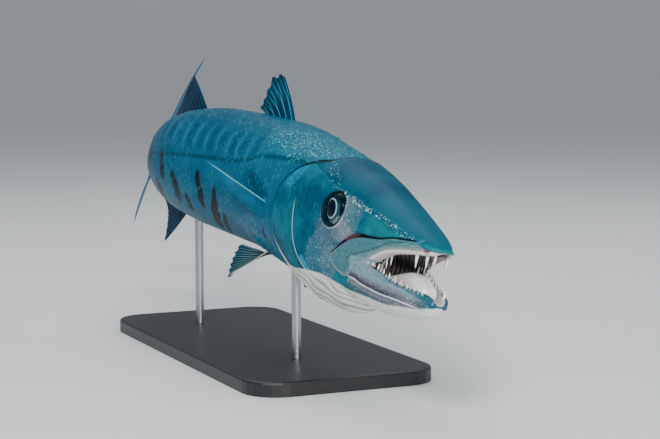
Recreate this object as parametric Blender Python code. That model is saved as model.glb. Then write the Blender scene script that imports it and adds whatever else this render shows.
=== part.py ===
"""A great barracuda with its mouth open, life size, banked on a plain display stand.

The fish is drawn first as if it swam straight: x runs back from the snout, y to its right and z up,
all as shares of its standard length. place() then bends the body, banks it and sets it on the stand.
"""
import math
import random

import bmesh
import bpy
import numpy as np
from mathutils import Vector

# Size and pose of the fish
TOTAL_LENGTH = 1.20
STANDARD_LENGTH = TOTAL_LENGTH / 1.18
NOSE_DOWN = math.radians(4.2)
BANK = math.radians(10.7)
AXIS_HEIGHT = 0.228
GAP = 0.0003

# Where along the body the stand carries it, and how far the pose bends it there:
# place along the body, heading to the right, tail up, twist of the back to the left, in degrees
BALANCE_X = 0.50
POSE = (
    (0.00, 0.0, 0.0, 0.0),
    (0.40, 0.0, 0.0, 0.0),
    (0.47, 0.9, -0.8, 0.0),
    (0.62, 7.4, -2.2, 0.0),
    (0.78, -4.8, -2.0, 0.0),
    (0.90, -13.8, -0.6, 4.0),
    (1.05, -21.8, 0.8, 11.0),
    (1.25, -30.5, 2.0, 13.0),
)

# How deep a fin's root is drawn inside the body before it's cut back to the skin
SUNK = 0.0045

# Outer shape: place, top, bottom, half width, height of the widest line
BODY = (
    (0.000, 0.0060, -0.0040, 0.0095, 0.0000),  # tip of the upper jaw
    (0.020, 0.0145, -0.0065, 0.0200, -0.0025),
    (0.050, 0.0240, -0.0125, 0.0295, -0.0060),
    (0.100, 0.0400, -0.0430, 0.0400, -0.0150),  # just ahead of the mouth's corner
    (0.130, 0.0490, -0.0800, 0.0450, -0.0200),
    (0.165, 0.0585, -0.1000, 0.0500, -0.0180),  # front of the eye, throat
    (0.230, 0.0710, -0.1050, 0.0595, -0.0140),
    (0.310, 0.0820, -0.0880, 0.0660, -0.0040),  # gill cover
    (0.440, 0.0915, -0.0760, 0.0650, 0.0030),  # first dorsal fin
    (0.600, 0.0900, -0.0740, 0.0590, 0.0030),
    (0.700, 0.0800, -0.0670, 0.0500, 0.0020),  # second dorsal and anal fins
    (0.780, 0.0640, -0.0560, 0.0395, 0.0020),
    (0.860, 0.0480, -0.0440, 0.0275, 0.0010),
    (0.930, 0.0405, -0.0395, 0.0190, 0.0000),
    (1.000, 0.0430, -0.0430, 0.0085, 0.0000),  # root of the tail fin
)
TOP_SQUARENESS = 2.5
BELLY_SQUARENESS = 2.1

# Hollow of the mouth: place, roof, floor, half width
MOUTH = (
    (-0.060, 0.0000, -0.0500, 0.0060),
    (0.000, 0.0000, -0.0530, 0.0090),
    (0.025, 0.0030, -0.0580, 0.0180),
    (0.060, 0.0040, -0.0650, 0.0255),
    (0.100, -0.0010, -0.0700, 0.0328),
    (0.150, -0.0140, -0.0740, 0.0350),
    (0.200, -0.0300, -0.0700, 0.0280),
    (0.235, -0.0420, -0.0600, 0.0120),
)

# Lower jaw: place, gum, underside, half width
JAW = (
    (-0.0125, -0.0500, -0.0595, 0.0045),
    (-0.0060, -0.0465, -0.0670, 0.0125),
    (0.012, -0.0440, -0.0735, 0.0215),
    (0.050, -0.0405, -0.0810, 0.0315),
    (0.090, -0.0320, -0.0850, 0.0380),
    (0.130, -0.0350, -0.0830, 0.0430),
    (0.185, -0.0470, -0.0750, 0.0430),
)

# Tongue: place, top, half width
TONGUE = (
    (0.006, -0.0500, 0.0040),
    (0.016, -0.0375, 0.0125),
    (0.045, -0.0290, 0.0165),
    (0.090, -0.0400, 0.0165),
    (0.140, -0.0520, 0.0130),
)

# Band of the upper lip on the side of the snout: place, height, half width
LIP_BAND = (
    (0.004, -0.0005, 0.0040),
    (0.050, -0.0068, 0.0065),
    (0.095, -0.0265, 0.0085),
    (0.133, -0.0500, 0.0125),
)

# Front fangs of the upper jaw: place, distance from the middle, length, radius
FANGS = (
    (0.005, 0.0075, 0.0110, 0.0020),
    (0.013, 0.0125, 0.0130, 0.0023),
    (0.025, 0.0185, 0.0150, 0.0024),
)

# Spines of the first dorsal fin: share of its base, length, angle of lean in degrees
SPINES = (
    (0.00, 0.086, 46),
    (0.25, 0.086, 50),
    (0.50, 0.067, 59),
    (0.75, 0.046, 67),
    (1.00, 0.028, 73),
)

# Eye and gill cover
EYE_X = 0.180
EYE_Z = 0.0125
EYE_RADIUS = 0.0200
EYE_DEPTH = 0.0120
EYE_OUT = 0.0550
RIM_RADIUS = 0.0192
RIM_THICKNESS = 0.0019
GILL_EDGE = (
    (0.215, 0.110),
    (0.238, 0.0630),
    (0.258, 0.0565),
    (0.284, 0.0420),
    (0.305, 0.0180),
    (0.312, -0.0090),
    (0.306, -0.0380),
    (0.290, -0.0630),
    (0.260, -0.0830),
    (0.215, -0.0960),
    (0.160, -0.1070),
    (0.110, -0.1300),
)
GILL_COVER_STANDS_PROUD = 0.0022


def smooth_table(table, x):
    """Each column of the table at x, on a smooth curve that doesn't overshoot its rows."""
    rows = np.asarray(table, float)
    xs, values = rows[:, 0], rows[:, 1:]
    slope = np.diff(values, axis=0) / np.diff(xs)[:, None]
    same_way = slope[:-1] * slope[1:] > 0
    middle = np.where(same_way, 2 * slope[:-1] * slope[1:] / (slope[:-1] + slope[1:] + 1e-12), 0)
    tangent = np.vstack([slope[:1], middle, slope[-1:]])
    x = min(max(x, xs[0]), xs[-1])
    i = min(int(np.searchsorted(xs, x, side="right")) - 1, len(xs) - 2)
    step = xs[i + 1] - xs[i]
    t = (x - xs[i]) / step
    return (
        (2 * t**3 - 3 * t**2 + 1) * values[i]
        + (t**3 - 2 * t**2 + t) * step * tangent[i]
        + (-2 * t**3 + 3 * t**2) * values[i + 1]
        + (t**3 - t**2) * step * tangent[i + 1]
    )


def backbone():
    """The bent body's centre line: for even steps of x, its place and its heading, rise and twist."""
    xs = np.linspace(-0.1, 1.3, 561)
    angles = np.radians([smooth_table(POSE, x) for x in xs])
    heading, rise = angles[:, 0], angles[:, 1]
    steps = np.stack(
        [np.cos(heading) * np.cos(rise), np.sin(heading) * np.cos(rise), np.sin(rise)], 1
    )
    places = np.vstack([np.zeros(3), np.cumsum((steps[1:] + steps[:-1]) / 2, axis=0) * (xs[1] - xs[0])])
    start = np.array([np.interp(0.0, xs, column) for column in places.T])
    return xs, places - start, angles


BACKBONE = backbone()


def at_backbone(x):
    xs, places, angles = BACKBONE
    place_here = [np.interp(x, xs, column) for column in places.T]
    return place_here, [np.interp(x, xs, column) for column in angles.T]


def attitude():
    """The directions back, right and up of the banked fish on the stand."""
    back = Vector((0, math.cos(NOSE_DOWN), math.sin(NOSE_DOWN)))
    level_right = Vector((-1, 0, 0))
    level_up = Vector((0, -math.sin(NOSE_DOWN), math.cos(NOSE_DOWN)))
    right = math.cos(BANK) * level_right + math.sin(BANK) * level_up
    up = math.cos(BANK) * level_up - math.sin(BANK) * level_right
    return back, right, up


BACK, RIGHT, UP = attitude()


def turn_to_stand(x, y, z):
    return (BACK * x + RIGHT * y + UP * z) * STANDARD_LENGTH


def set_down():
    """Moves the point of the backbone over the stand's middle to its height."""
    over_stand, _ = at_backbone(BALANCE_X)
    return Vector((0, 0, AXIS_HEIGHT)) - turn_to_stand(*over_stand)


OFFSET = set_down()


def place(point):
    """A point of the straight fish, in shares of its length, where the posed one has it, in metres."""
    x, y, z = point
    (px, py, pz), (heading, rise, twist) = at_backbone(x)
    y, z = (
        y * math.cos(twist) - z * math.sin(twist),
        y * math.sin(twist) + z * math.cos(twist),
    )
    px += -math.sin(heading) * y - math.cos(heading) * math.sin(rise) * z
    py += math.cos(heading) * y - math.sin(heading) * math.sin(rise) * z
    pz += math.cos(rise) * z
    return turn_to_stand(px, py, pz) + OFFSET


def material(name, colour, roughness, metallic=0.0):
    made = bpy.data.materials.new(name)
    made.use_nodes = True
    shader = made.node_tree.nodes["Principled BSDF"]
    shader.inputs["Base Color"].default_value = (*colour, 1)
    shader.inputs["Roughness"].default_value = roughness
    shader.inputs["Metallic"].default_value = metallic
    return made


def mesh_object(name, bm, finish):
    """An object from the mesh, with its faces pointing out and its smooth stretches shaded smooth."""
    bm.normal_update()
    bmesh.ops.recalc_face_normals(bm, faces=bm.faces)
    mesh = bpy.data.meshes.new(name)
    bm.to_mesh(mesh)
    bm.free()
    made = bpy.data.objects.new(name, mesh)
    bpy.context.scene.collection.objects.link(made)
    if finish:
        mesh.materials.append(finish)
    mesh.shade_smooth()
    return made


def loft(name, rings, finish=None):
    """A closed skin over rings of points, with flat ends."""
    bm = bmesh.new()
    loops = [[bm.verts.new(p) for p in ring] for ring in rings]
    for first, second in zip(loops, loops[1:]):
        for i in range(len(first)):
            j = (i + 1) % len(first)
            bm.faces.new((first[i], first[j], second[j], second[i]))
    bm.faces.new(loops[0][::-1])
    bm.faces.new(loops[-1])
    return mesh_object(name, bm, finish)


def section(x, top, bottom, half, wide, segments, grow=0.0, square=(TOP_SQUARENESS, BELLY_SQUARENESS)):
    """A ring of the fish's cross-section: two half ovals that meet on the widest line."""
    ring = []
    for i in range(segments):
        angle = 2 * math.pi * i / segments + math.pi / 2
        power = 2 / (square[0] if math.sin(angle) > 0 else square[1])
        reach = (top - wide + grow) if math.sin(angle) > 0 else (wide - bottom + grow)
        side = math.copysign(abs(math.cos(angle)) ** power, math.cos(angle))
        height = math.copysign(abs(math.sin(angle)) ** power, math.sin(angle))
        ring.append(Vector((x, (half + grow) * side, wide + reach * height)))
    return ring


def body_rings(start, end, count, segments, grow):
    rings = []
    for x in np.linspace(start, end, count):
        top, bottom, half, wide = smooth_table(BODY, x)
        rings.append(section(x, top, bottom, half, wide, segments, grow(x)))
    return rings


def surface_y(x, z):
    """How far out the body's side is at this place and height."""
    top, bottom, half, wide = smooth_table(BODY, x)
    reach, power = (top - wide, TOP_SQUARENESS) if z > wide else (wide - bottom, BELLY_SQUARENESS)
    share = min(abs(z - wide) / reach, 1.0)
    return half * (1 - share**power) ** (1 / power)


def place_all(obj):
    for vertex in obj.data.vertices:
        vertex.co = place(vertex.co)
    return obj


def keep_largest(obj):
    """Drops the loose scraps and sealed hollows that cuts leave, all but the largest surface."""
    bm = bmesh.new()
    bm.from_mesh(obj.data)
    for merge in (0.0, 2e-5):
        if merge:
            bmesh.ops.remove_doubles(bm, verts=bm.verts, dist=merge)
            bmesh.ops.dissolve_degenerate(bm, edges=bm.edges, dist=merge)
        groups = surfaces(bm)
        loose = [face for group in groups[:-1] for face in group]
        bmesh.ops.delete(bm, geom=loose, context="FACES")
        stray = [v for v in bm.verts if not v.link_faces]
        bmesh.ops.delete(bm, geom=stray, context="VERTS")
    bm.to_mesh(obj.data)
    bm.free()


def surfaces(bm):
    """The mesh's faces in groups that hang together across their edges, the largest group last."""
    seen, groups = set(), []
    for face in bm.faces:
        if face in seen:
            continue
        group, todo = [], [face]
        seen.add(face)
        while todo:
            here = todo.pop()
            group.append(here)
            near = [f for edge in here.edges if len(edge.link_faces) == 2 for f in edge.link_faces]
            for other in near:
                if other not in seen:
                    seen.add(other)
                    todo.append(other)
        groups.append(group)
    return sorted(groups, key=len)


def combine(obj, others, operation, solver="MANIFOLD"):
    """Joins, cuts or trims obj by the others, which are then removed."""
    tools = bpy.data.collections.new("tools")
    for other in others:
        tools.objects.link(other)
    modifier = obj.modifiers.new("combine", "BOOLEAN")
    modifier.operation = operation
    modifier.solver = solver
    modifier.operand_type = "COLLECTION"
    modifier.collection = tools
    graph = bpy.context.evaluated_depsgraph_get()
    result = bpy.data.meshes.new_from_object(obj.evaluated_get(graph))
    obj.modifiers.clear()
    obj.data = result
    for other in others:
        bpy.data.objects.remove(other)
    bpy.data.collections.remove(tools)
    keep_largest(obj)
    return obj


def gill_prism(name, outward):
    """The region in front of the gill cover's edge, as a slab through the fish. outward widens it."""
    edge = np.array([smooth_table([(i, *p) for i, p in enumerate(GILL_EDGE)], t)
                     for t in np.linspace(0, len(GILL_EDGE) - 1, 41)])
    along = np.gradient(edge, axis=0)
    normal = np.stack([-along[:, 1], along[:, 0]], 1)
    normal /= np.linalg.norm(normal, axis=1)[:, None]
    normal *= np.sign(normal[len(normal) // 2, 0])
    edge += normal * outward
    outline = [*edge, (-0.2, -0.2), (-0.2, 0.2)]
    reach = 0.12
    return loft(name, [[Vector((x, y, z)) for x, z in outline] for y in (-reach, reach)])


def cone(name, root, tip, radius, sides=6, sink=0.35):
    """A tooth, its root sunk into what it grows from."""
    root, tip = Vector(root), Vector(tip)
    along = tip - root
    across = along.orthogonal().normalized()
    other = along.cross(across).normalized()
    rings = []
    for share, size in ((-sink, 1.0), (0.0, 1.0), (0.55, 0.62), (1.0, 0.12)):
        middle = root + along * share
        rings.append([
            middle + (across * math.cos(a) + other * math.sin(a)) * radius * size
            for a in (2 * math.pi * i / sides for i in range(sides))
        ])
    return loft(name, rings)


def ball(name, centre, radius, segments=24, rings=16, squash=1.0, finish=None):
    bm = bmesh.new()
    bmesh.ops.create_uvsphere(bm, u_segments=segments, v_segments=rings, radius=radius)
    for vertex in bm.verts:
        vertex.co = Vector((vertex.co.x, vertex.co.z * squash, vertex.co.y)) + Vector(centre)
    return mesh_object(name, bm, finish)


def clear():
    for obj in list(bpy.data.objects):
        bpy.data.objects.remove(obj)


# Hollow of the mouth, tongue and jaws
def mouth_hollow(grow=0.0):
    rings = []
    for x in np.linspace(MOUTH[0][0], MOUTH[-1][0], 22):
        roof, floor, half = smooth_table(MOUTH, x)
        rings.append(section(x, roof, floor, half, (roof + floor) / 2, 20, grow, (2.8, 2.8)))
    return loft("mouth_hollow", rings)


def jaw_outer(name, grow=0.0, finish=None):
    rings = []
    for x in [JAW[0][0] - grow, *np.linspace(JAW[0][0] + 0.002, JAW[-1][0], 18)]:
        gum, underside, half = smooth_table(JAW, x)
        wide = gum - 0.32 * (gum - underside)
        rings.append(section(x, gum, underside, half, wide, 24, grow, (3.2, 2.2)))
    rings[-1] = [p + Vector((grow, 0, 0)) for p in rings[-1]]
    return loft(name, rings, finish)


def upper_teeth():
    """Three fangs at the tip and four smaller ones along the lip on each side, no two quite alike."""
    vary = random.Random(5)
    teeth = []
    for side in (-1, 1):
        for x, y, length, radius in FANGS:
            root = (x, side * y, -0.0040 - 0.10 * x)
            length *= vary.uniform(0.94, 1.06)
            teeth.append(cone("tooth", root, (x - 0.001, side * y * 0.96, root[2] - length), radius))
        for i in range(4):
            x = 0.066 + 0.0115 * i
            lip = smooth_table(BODY, x)[1]
            root = (x, side * (surface_y(x, lip + 0.006) - 0.0045), lip + 0.0030)
            length = vary.uniform(0.0120, 0.0140)
            tip = (x + vary.uniform(-0.0010, 0.0005), root[1] - side * 0.001, root[2] - length)
            teeth.append(cone("tooth", root, tip, 0.0016))
    return teeth


def lower_teeth():
    """A pair of fangs at the chin and an uneven row of pointed teeth along each side."""
    vary = random.Random(6)
    teeth = []
    for side in (-1, 1):
        root = (-0.0055, side * 0.0060, -0.0478)
        teeth.append(cone("tooth", root, (-0.0070, side * 0.0058, -0.0360), 0.0021))
        count = 10
        for i in range(count):
            x = 0.005 + 0.0105 * i
            gum, _, half = smooth_table(JAW, x)
            length = 0.0036 + 0.0026 * math.sin(math.pi * i / (count - 1)) + vary.uniform(0.0, 0.0012)
            root = (x, side * (half - 0.0042), gum - 0.0010)
            teeth.append(cone("tooth", root, (x - 0.0010, root[1], gum + length), 0.0014, sides=5))
    return teeth


def eye_socket(side, grow):
    squash = (EYE_DEPTH + grow) / (EYE_RADIUS + grow)
    return ball("socket", (EYE_X, side * (EYE_OUT - EYE_DEPTH), EYE_Z), EYE_RADIUS + grow, 20, 12, squash)


def eye_rim(side):
    """The raised ring of skin round the eye."""
    bm = bmesh.new()
    steps, sides = 24, 6
    loops = []
    for i in range(steps):
        a = 2 * math.pi * i / steps
        x, z = EYE_X + RIM_RADIUS * math.cos(a), EYE_Z + RIM_RADIUS * math.sin(a)
        middle = Vector((x, side * (surface_y(x, z) - 0.0006), z))
        outward = Vector((math.cos(a), 0, math.sin(a)))
        sideways = Vector((0, side, 0))
        loops.append([
            bm.verts.new(middle + RIM_THICKNESS * (outward * math.cos(b) + sideways * math.sin(b)))
            for b in (2 * math.pi * j / sides for j in range(sides))
        ])
    for i in range(steps):
        for j in range(sides):
            a, b = loops[i], loops[(i + 1) % steps]
            k = (j + 1) % sides
            bm.faces.new((a[j], a[k], b[k], b[j]))
    return mesh_object("rim", bm, None)


def surface_tube(name, path, radius, out, sides=6):
    """A tapered round bar laid along the skin, to cut a groove or raise a ridge. path is (x, z) places."""
    points = []
    for t in np.linspace(0, len(path) - 1, 4 * len(path)):
        x, z = smooth_table([(i, *p) for i, p in enumerate(path)], t)
        points.append((x, z, t / (len(path) - 1)))
    tubes = []
    for side in (-1, 1):
        rings = []
        for i, (x, z, share) in enumerate(points):
            here = Vector((x, side * (surface_y(x, z) + out), z))
            before = points[max(i - 1, 0)]
            after = points[min(i + 1, len(points) - 1)]
            along = Vector((after[0] - before[0], 0, after[1] - before[1])).normalized()
            across = along.cross(Vector((0, side, 0))).normalized()
            size = radius * (0.30 + 0.70 * math.sin(math.pi * min(max(share, 0.04), 0.96)) ** 0.6)
            rings.append([
                here + size * (across * math.cos(a) + Vector((0, side, 0)) * math.sin(a))
                for a in (2 * math.pi * j / sides for j in range(sides))
            ])
        tubes.append(loft(name, rings))
    return tubes


def upper_lip():
    """The upper jaw's band along the lip, broad and rounded at the mouth's corner."""
    bands = []
    for side in (-1, 1):
        rings = []
        for i in range(15):
            x, z, width = smooth_table([(j, *p) for j, p in enumerate(LIP_BAND)], i * 3 / 14)
            ahead = smooth_table([(j, *p) for j, p in enumerate(LIP_BAND)], min(i * 3 / 14 + 0.05, 3.0))
            behind = smooth_table([(j, *p) for j, p in enumerate(LIP_BAND)], max(i * 3 / 14 - 0.05, 0.0))
            along = Vector((ahead[0] - behind[0], 0, ahead[1] - behind[1])).normalized()
            outward = Vector((0, side, 0))
            across = along.cross(outward).normalized()
            size = width * (1 - (i / 14) ** 8) ** 0.5 if i < 14 else width * 0.25
            here = Vector((x, side * (surface_y(x, z) - 0.0022), z))
            rings.append([
                here + across * size * math.cos(a) + outward * 0.0042 * math.sin(a)
                for a in (2 * math.pi * j / 10 for j in range(10))
            ])
        bands.append(loft("band", rings))
    return bands


def head(finish):
    gap = GAP / STANDARD_LENGTH
    rings = []
    for x in [0.0, 0.004, 0.011, *np.linspace(0.020, 0.345, 29)]:
        top, bottom, half, wide = smooth_table(BODY, x)
        rings.append(section(x, top, bottom, half, wide, 36))
    tip = Vector((-0.0035, 0, 0.001))
    rings.insert(0, [tip + (p - tip) * 0.55 for p in rings[0]])
    made = loft("head", rings, finish)
    combine(made, [gill_prism("gill_prism", 0.0)], "INTERSECT")
    combine(made, upper_lip(), "UNION")
    combine(made, [mouth_hollow()], "DIFFERENCE")
    combine(made, [jaw_outer("jaw_pocket", gap)], "DIFFERENCE")
    combine(made, [eye_rim(-1), eye_rim(1), *upper_teeth()], "UNION")
    cuts = [eye_socket(side, gap) for side in (-1, 1)]
    jaw_groove = ((0.060, -0.0040), (0.095, -0.0120), (0.125, -0.0240), (0.150, -0.0430))
    cuts += surface_tube("groove", jaw_groove, 0.0028, 0.0004)
    cheek_edge = ((0.262, 0.0150), (0.262, -0.0120), (0.248, -0.0420), (0.215, -0.0640))
    cuts += surface_tube("groove", cheek_edge, 0.0016, 0.0004)
    for side in (-1, 1):
        for x, z, size in ((0.1300, 0.0290, 0.0022), (0.1390, 0.0275, 0.0017)):
            cuts.append(ball("nostril", (x, side * surface_y(x, z), z), size, 8, 6))
    combine(made, cuts, "DIFFERENCE")
    return place_all(made)


def lower_jaw(finish):
    made = jaw_outer("lower_jaw", 0.0, finish)
    combine(made, [mouth_hollow()], "DIFFERENCE")
    combine(made, lower_teeth(), "UNION")
    return place_all(made)


def tongue(finish):
    gap = GAP / STANDARD_LENGTH
    rings = []
    for x in np.linspace(TONGUE[0][0], TONGUE[-1][0], 16):
        top, half = smooth_table(TONGUE, x)
        rings.append(section(x, top, -0.085, half, -0.055, 16, 0.0, (2.2, 3.0)))
    made = loft("tongue", rings, finish)
    combine(made, [mouth_hollow(-gap)], "INTERSECT")
    return place_all(made)


def eye(name, side, finish):
    centre = (EYE_X, side * (EYE_OUT - EYE_DEPTH), EYE_Z)
    return place_all(ball(name, centre, EYE_RADIUS, 20, 12, EYE_DEPTH / EYE_RADIUS, finish))


def trunk_shape(grow, finish=None):
    """The trunk, lower than the gill cover where that lies against it."""

    def step(x):
        return grow - GILL_COVER_STANDS_PROUD * min(max((0.38 - x) / 0.07, 0.0), 1.0)

    return loft("trunk", body_rings(0.150, 0.700 - GAP / STANDARD_LENGTH + grow, 30, 32, step), finish)


def stalk_shape(grow, finish=None):
    return loft("tail_stalk", body_rings(0.700 - grow, 1.000 + grow, 18, 28, lambda x: grow), finish)


def trunk(finish):
    made = trunk_shape(0.0, finish)
    combine(made, [gill_prism("gill_prism", GAP / STANDARD_LENGTH)], "DIFFERENCE")
    return place_all(made)


def tail_stalk(finish):
    return place_all(stalk_shape(0.0, finish))


# Fins
def meet_body(made):
    """Cuts a fin's root back to the skin it stands on, with the gap between them."""
    gap = GAP / STANDARD_LENGTH
    made = combine(made, [trunk_shape(gap)], "DIFFERENCE")
    return combine(made, [stalk_shape(gap)], "DIFFERENCE")


def fin(name, point, normal, thickness, columns, rows, finish):
    """A thin blade: point(t, s) runs across the rays with t and along them with s.

    Both faces are split into triangles alike, so that a curved blade doesn't cross itself.
    """
    bm = bmesh.new()
    sides = []
    for way in (1, -1):
        grid = []
        for i in range(columns):
            t = i / (columns - 1)
            column = []
            for j in range(rows):
                s = j / (rows - 1)
                offset = Vector(normal(t, s)) * (way * thickness(i, s) / STANDARD_LENGTH)
                column.append(bm.verts.new(Vector(point(t, s)) + offset))
            grid.append(column)
        sides.append(grid)
    right, left = sides
    for i in range(columns - 1):
        for j in range(rows - 1):
            for grid in (right, left):
                a, b = grid[i][j], grid[i + 1][j]
                c, d = grid[i + 1][j + 1], grid[i][j + 1]
                bm.faces.new((a, b, c))
                bm.faces.new((a, c, d))
    for i in range(columns - 1):
        for j in (0, rows - 1):
            bm.faces.new((right[i][j], right[i + 1][j], left[i + 1][j], left[i][j]))
    for j in range(rows - 1):
        for i in (0, columns - 1):
            bm.faces.new((right[i][j], right[i][j + 1], left[i][j + 1], left[i][j]))
    return place_all(meet_body(mesh_object(name, bm, finish)))


def ray_thickness(root, ray, membrane, tip, fleshy=0.10):
    """Half thickness in metres: odd columns are rays, the columns between them membrane."""

    def half(column, s):
        flesh = max(0.0, 1 - s / fleshy)
        base = ray if column % 2 else membrane
        blade = base + (min(tip, base) - base) * s
        return blade + (root - blade) * flesh

    return half


def median_fin(name, start, end, count, length, sweep, notch, finish, below=False):
    """A fin on the back, or below on the belly. length(t) and sweep(t) are those of its rays."""
    way = -1 if below else 1

    def point(t, s):
        column = t * 2 * count
        between = abs(math.cos(column * math.pi / 2))
        x = start + (end - start) * t
        reach = length(t) * (1 - notch * between)
        top, bottom, _, _ = smooth_table(BODY, x)
        edge = bottom if below else top
        lean = math.radians(sweep(t)) * (0.90 + 0.16 * s)
        height = reach * s * math.cos(lean) - SUNK * (1 - s)
        return (x + reach * s * math.sin(lean), 0.0, edge + way * height)

    return fin(name, point, lambda t, s: (0, 1, 0),
               ray_thickness(0.0026, 0.0011, 0.0004, 0.0004), 2 * count + 1, 6, finish)


def first_dorsal(finish):
    return median_fin("dorsal_fin_first", 0.436, 0.522, 5,
                      lambda t: smooth_table(SPINES, t)[0],
                      lambda t: smooth_table(SPINES, t)[1], 0.07, finish)


def second_dorsal(finish):
    return median_fin("dorsal_fin_second", 0.690, 0.812, 10,
                      lambda t: 0.056 + 0.044 * (1 - t) ** 1.2, lambda t: 59 + 20 * t, 0.04, finish)


def anal_fin(finish):
    return median_fin("anal_fin", 0.698, 0.785, 9,
                      lambda t: 0.030 + 0.064 * (1 - t) ** 2.2, lambda t: 52 + 24 * t, 0.04, finish, True)


def caudal_lobe(name, side, finish):
    """Half of the forked tail: its outer rays long and bowed, its middle ones a little longer again."""
    rays = 10

    def point(t, s):
        v = 1 - t
        reach = 0.070 + 0.150 * v**1.9 + 0.010 * max(0.0, 1 - v / 0.3) ** 2
        angle = math.radians(32) * v + math.radians(9) * v * (1 - s) ** 1.5
        height = 0.0006 * (1 - v) + 0.039 * v + reach * s * math.sin(angle)
        return (1.0 - SUNK * (1 - s) + reach * s * math.cos(angle), 0.0, side * height)

    return fin(name, point, lambda t, s: (0, 1, 0),
               ray_thickness(0.0066, 0.0014, 0.0005, 0.0004, 0.18), 2 * rays + 1, 8, finish)


def paired_fin(name, side, roots, tips, count, outline, thickness, finish, rows=6):
    """A pectoral or pelvic fin: a fan between its leading ray and its last ray."""
    roots = [Vector((x, y * side, z)) for x, y, z in roots]
    tips = [Vector((x, y * side, z)) for x, y, z in tips]
    first, last = tips[0] - roots[0], tips[1] - roots[1]
    facing = first.cross(tips[1] + roots[1] - roots[0] * 2).normalized()

    def point(t, s):
        root = roots[0].lerp(roots[1], t)
        way = first.normalized().slerp(last.normalized(), t)
        reach = outline(t) * (1 - 0.05 * abs(math.cos(t * count * math.pi)))
        return root + way * reach * s

    def normal(t, s):
        return facing

    return fin(name, point, normal, thickness, 2 * count + 1, rows, finish)


def pectoral_fin(name, side, finish):
    top_root = (0.3290, surface_y(0.329, -0.009) - SUNK, -0.0090)
    low_root = (0.3260, surface_y(0.326, -0.030) - SUNK, -0.0300)
    first_tip = (0.466, 0.102, 0.022)
    last_tip = (0.396, 0.082, -0.014)
    return paired_fin(name, side, (top_root, low_root), (first_tip, last_tip), 12,
                      lambda t: 0.070 + 0.086 * (1 - t) ** 0.9 * (1 - 0.08 * (1 - t) ** 8),
                      ray_thickness(0.0018, 0.0009, 0.0004, 0.0004, 0.08), finish)


def pelvic_fin(name, side, finish):
    outer_root = (0.3740, 0.0300, -0.0680)
    inner_root = (0.3830, 0.0150, -0.0765)
    first_tip = (0.428, 0.056, -0.121)
    last_tip = (0.460, 0.036, -0.077)
    return paired_fin(name, side, (outer_root, inner_root), (first_tip, last_tip), 6,
                      lambda t: 0.080 - 0.002 * t, ray_thickness(0.0020, 0.0011, 0.0004, 0.0005), finish)


# Display stand
BASE_LENGTH = 0.56
BASE_WIDTH = 0.25
BASE_THICKNESS = 0.018
BASE_CORNER = 0.045
ROD_RADIUS = 0.006
ROD_SUNK = 0.012
ROD_PLACES = (0.352, 0.662)


def stand_base(finish):
    bm = bmesh.new()
    outline = []
    for cx, cy, start in ((1, 1, 0), (-1, 1, 90), (-1, -1, 180), (1, -1, 270)):
        for step in range(7):
            a = math.radians(start + 15 * step)
            outline.append((cx * (BASE_WIDTH / 2 - BASE_CORNER) + BASE_CORNER * math.cos(a),
                            cy * (BASE_LENGTH / 2 - BASE_CORNER) + BASE_CORNER * math.sin(a)))
    face = bm.faces.new([bm.verts.new((x, y, 0)) for x, y in outline])
    raised = bmesh.ops.extrude_face_region(bm, geom=[face])
    top = [v for v in raised["geom"] if isinstance(v, bmesh.types.BMVert)]
    bmesh.ops.translate(bm, verts=top, vec=(0, 0, BASE_THICKNESS))
    rim = [e for e in bm.edges if all(v in top for v in e.verts)]
    bmesh.ops.bevel(bm, geom=rim, offset=0.003, segments=2, profile=0.5, affect="EDGES", material=-1)
    made = mesh_object("stand_base", bm, finish)
    made.data.set_sharp_from_angle(angle=math.radians(40))
    return made


def stand_rod(name, x, finish):
    """An upright rod whose top is cut to the slope of the belly it meets."""
    bottom = smooth_table(BODY, x)[1]
    foot = place((x, 0, bottom))
    rings = []
    for height in (BASE_THICKNESS + GAP, foot.z + ROD_SUNK):
        rings.append([
            Vector((foot.x + ROD_RADIUS * math.cos(a), foot.y + ROD_RADIUS * math.sin(a), height))
            for a in (2 * math.pi * i / 16 for i in range(16))
        ])
    made = loft(name, rings, finish)
    combine(made, [place_all(trunk_shape(GAP / STANDARD_LENGTH))], "DIFFERENCE")
    made.data.set_sharp_from_angle(angle=math.radians(40))
    return made


def main():
    clear()
    back_skin = material("back_skin", (0.01, 0.11, 0.14), 0.35)
    jaw_skin = material("jaw_skin", (0.10, 0.20, 0.22), 0.35)
    mouth_skin = material("mouth_skin", (0.80, 0.74, 0.70), 0.35)
    fin_skin = material("fin_skin", (0.01, 0.08, 0.10), 0.4)
    eye_black = material("eye_black", (0.01, 0.015, 0.02), 0.08)
    stand_black = material("stand_black", (0.03, 0.03, 0.032), 0.5)
    stand_steel = material("stand_steel", (0.55, 0.56, 0.57), 0.3, 1.0)
    head(back_skin)
    lower_jaw(jaw_skin)
    tongue(mouth_skin)
    eye("eye_right", 1, eye_black)
    eye("eye_left", -1, eye_black)
    trunk(back_skin)
    tail_stalk(back_skin)
    first_dorsal(fin_skin)
    second_dorsal(fin_skin)
    anal_fin(fin_skin)
    caudal_lobe("caudal_fin_upper", 1, fin_skin)
    caudal_lobe("caudal_fin_lower", -1, fin_skin)
    pectoral_fin("pectoral_fin_right", 1, fin_skin)
    pectoral_fin("pectoral_fin_left", -1, fin_skin)
    pelvic_fin("pelvic_fin_right", 1, fin_skin)
    pelvic_fin("pelvic_fin_left", -1, fin_skin)
    stand_base(stand_black)
    stand_rod("stand_rod_front", ROD_PLACES[0], stand_steel)
    stand_rod("stand_rod_rear", ROD_PLACES[1], stand_steel)


main()
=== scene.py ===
"""A life-size great barracuda, mouth agape, on a plain display stand in a pale studio.

The fish is drawn straight, as shares of its standard length: x runs back from the snout, y to its
right and z up. place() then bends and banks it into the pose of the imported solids.
"""
import math

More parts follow.
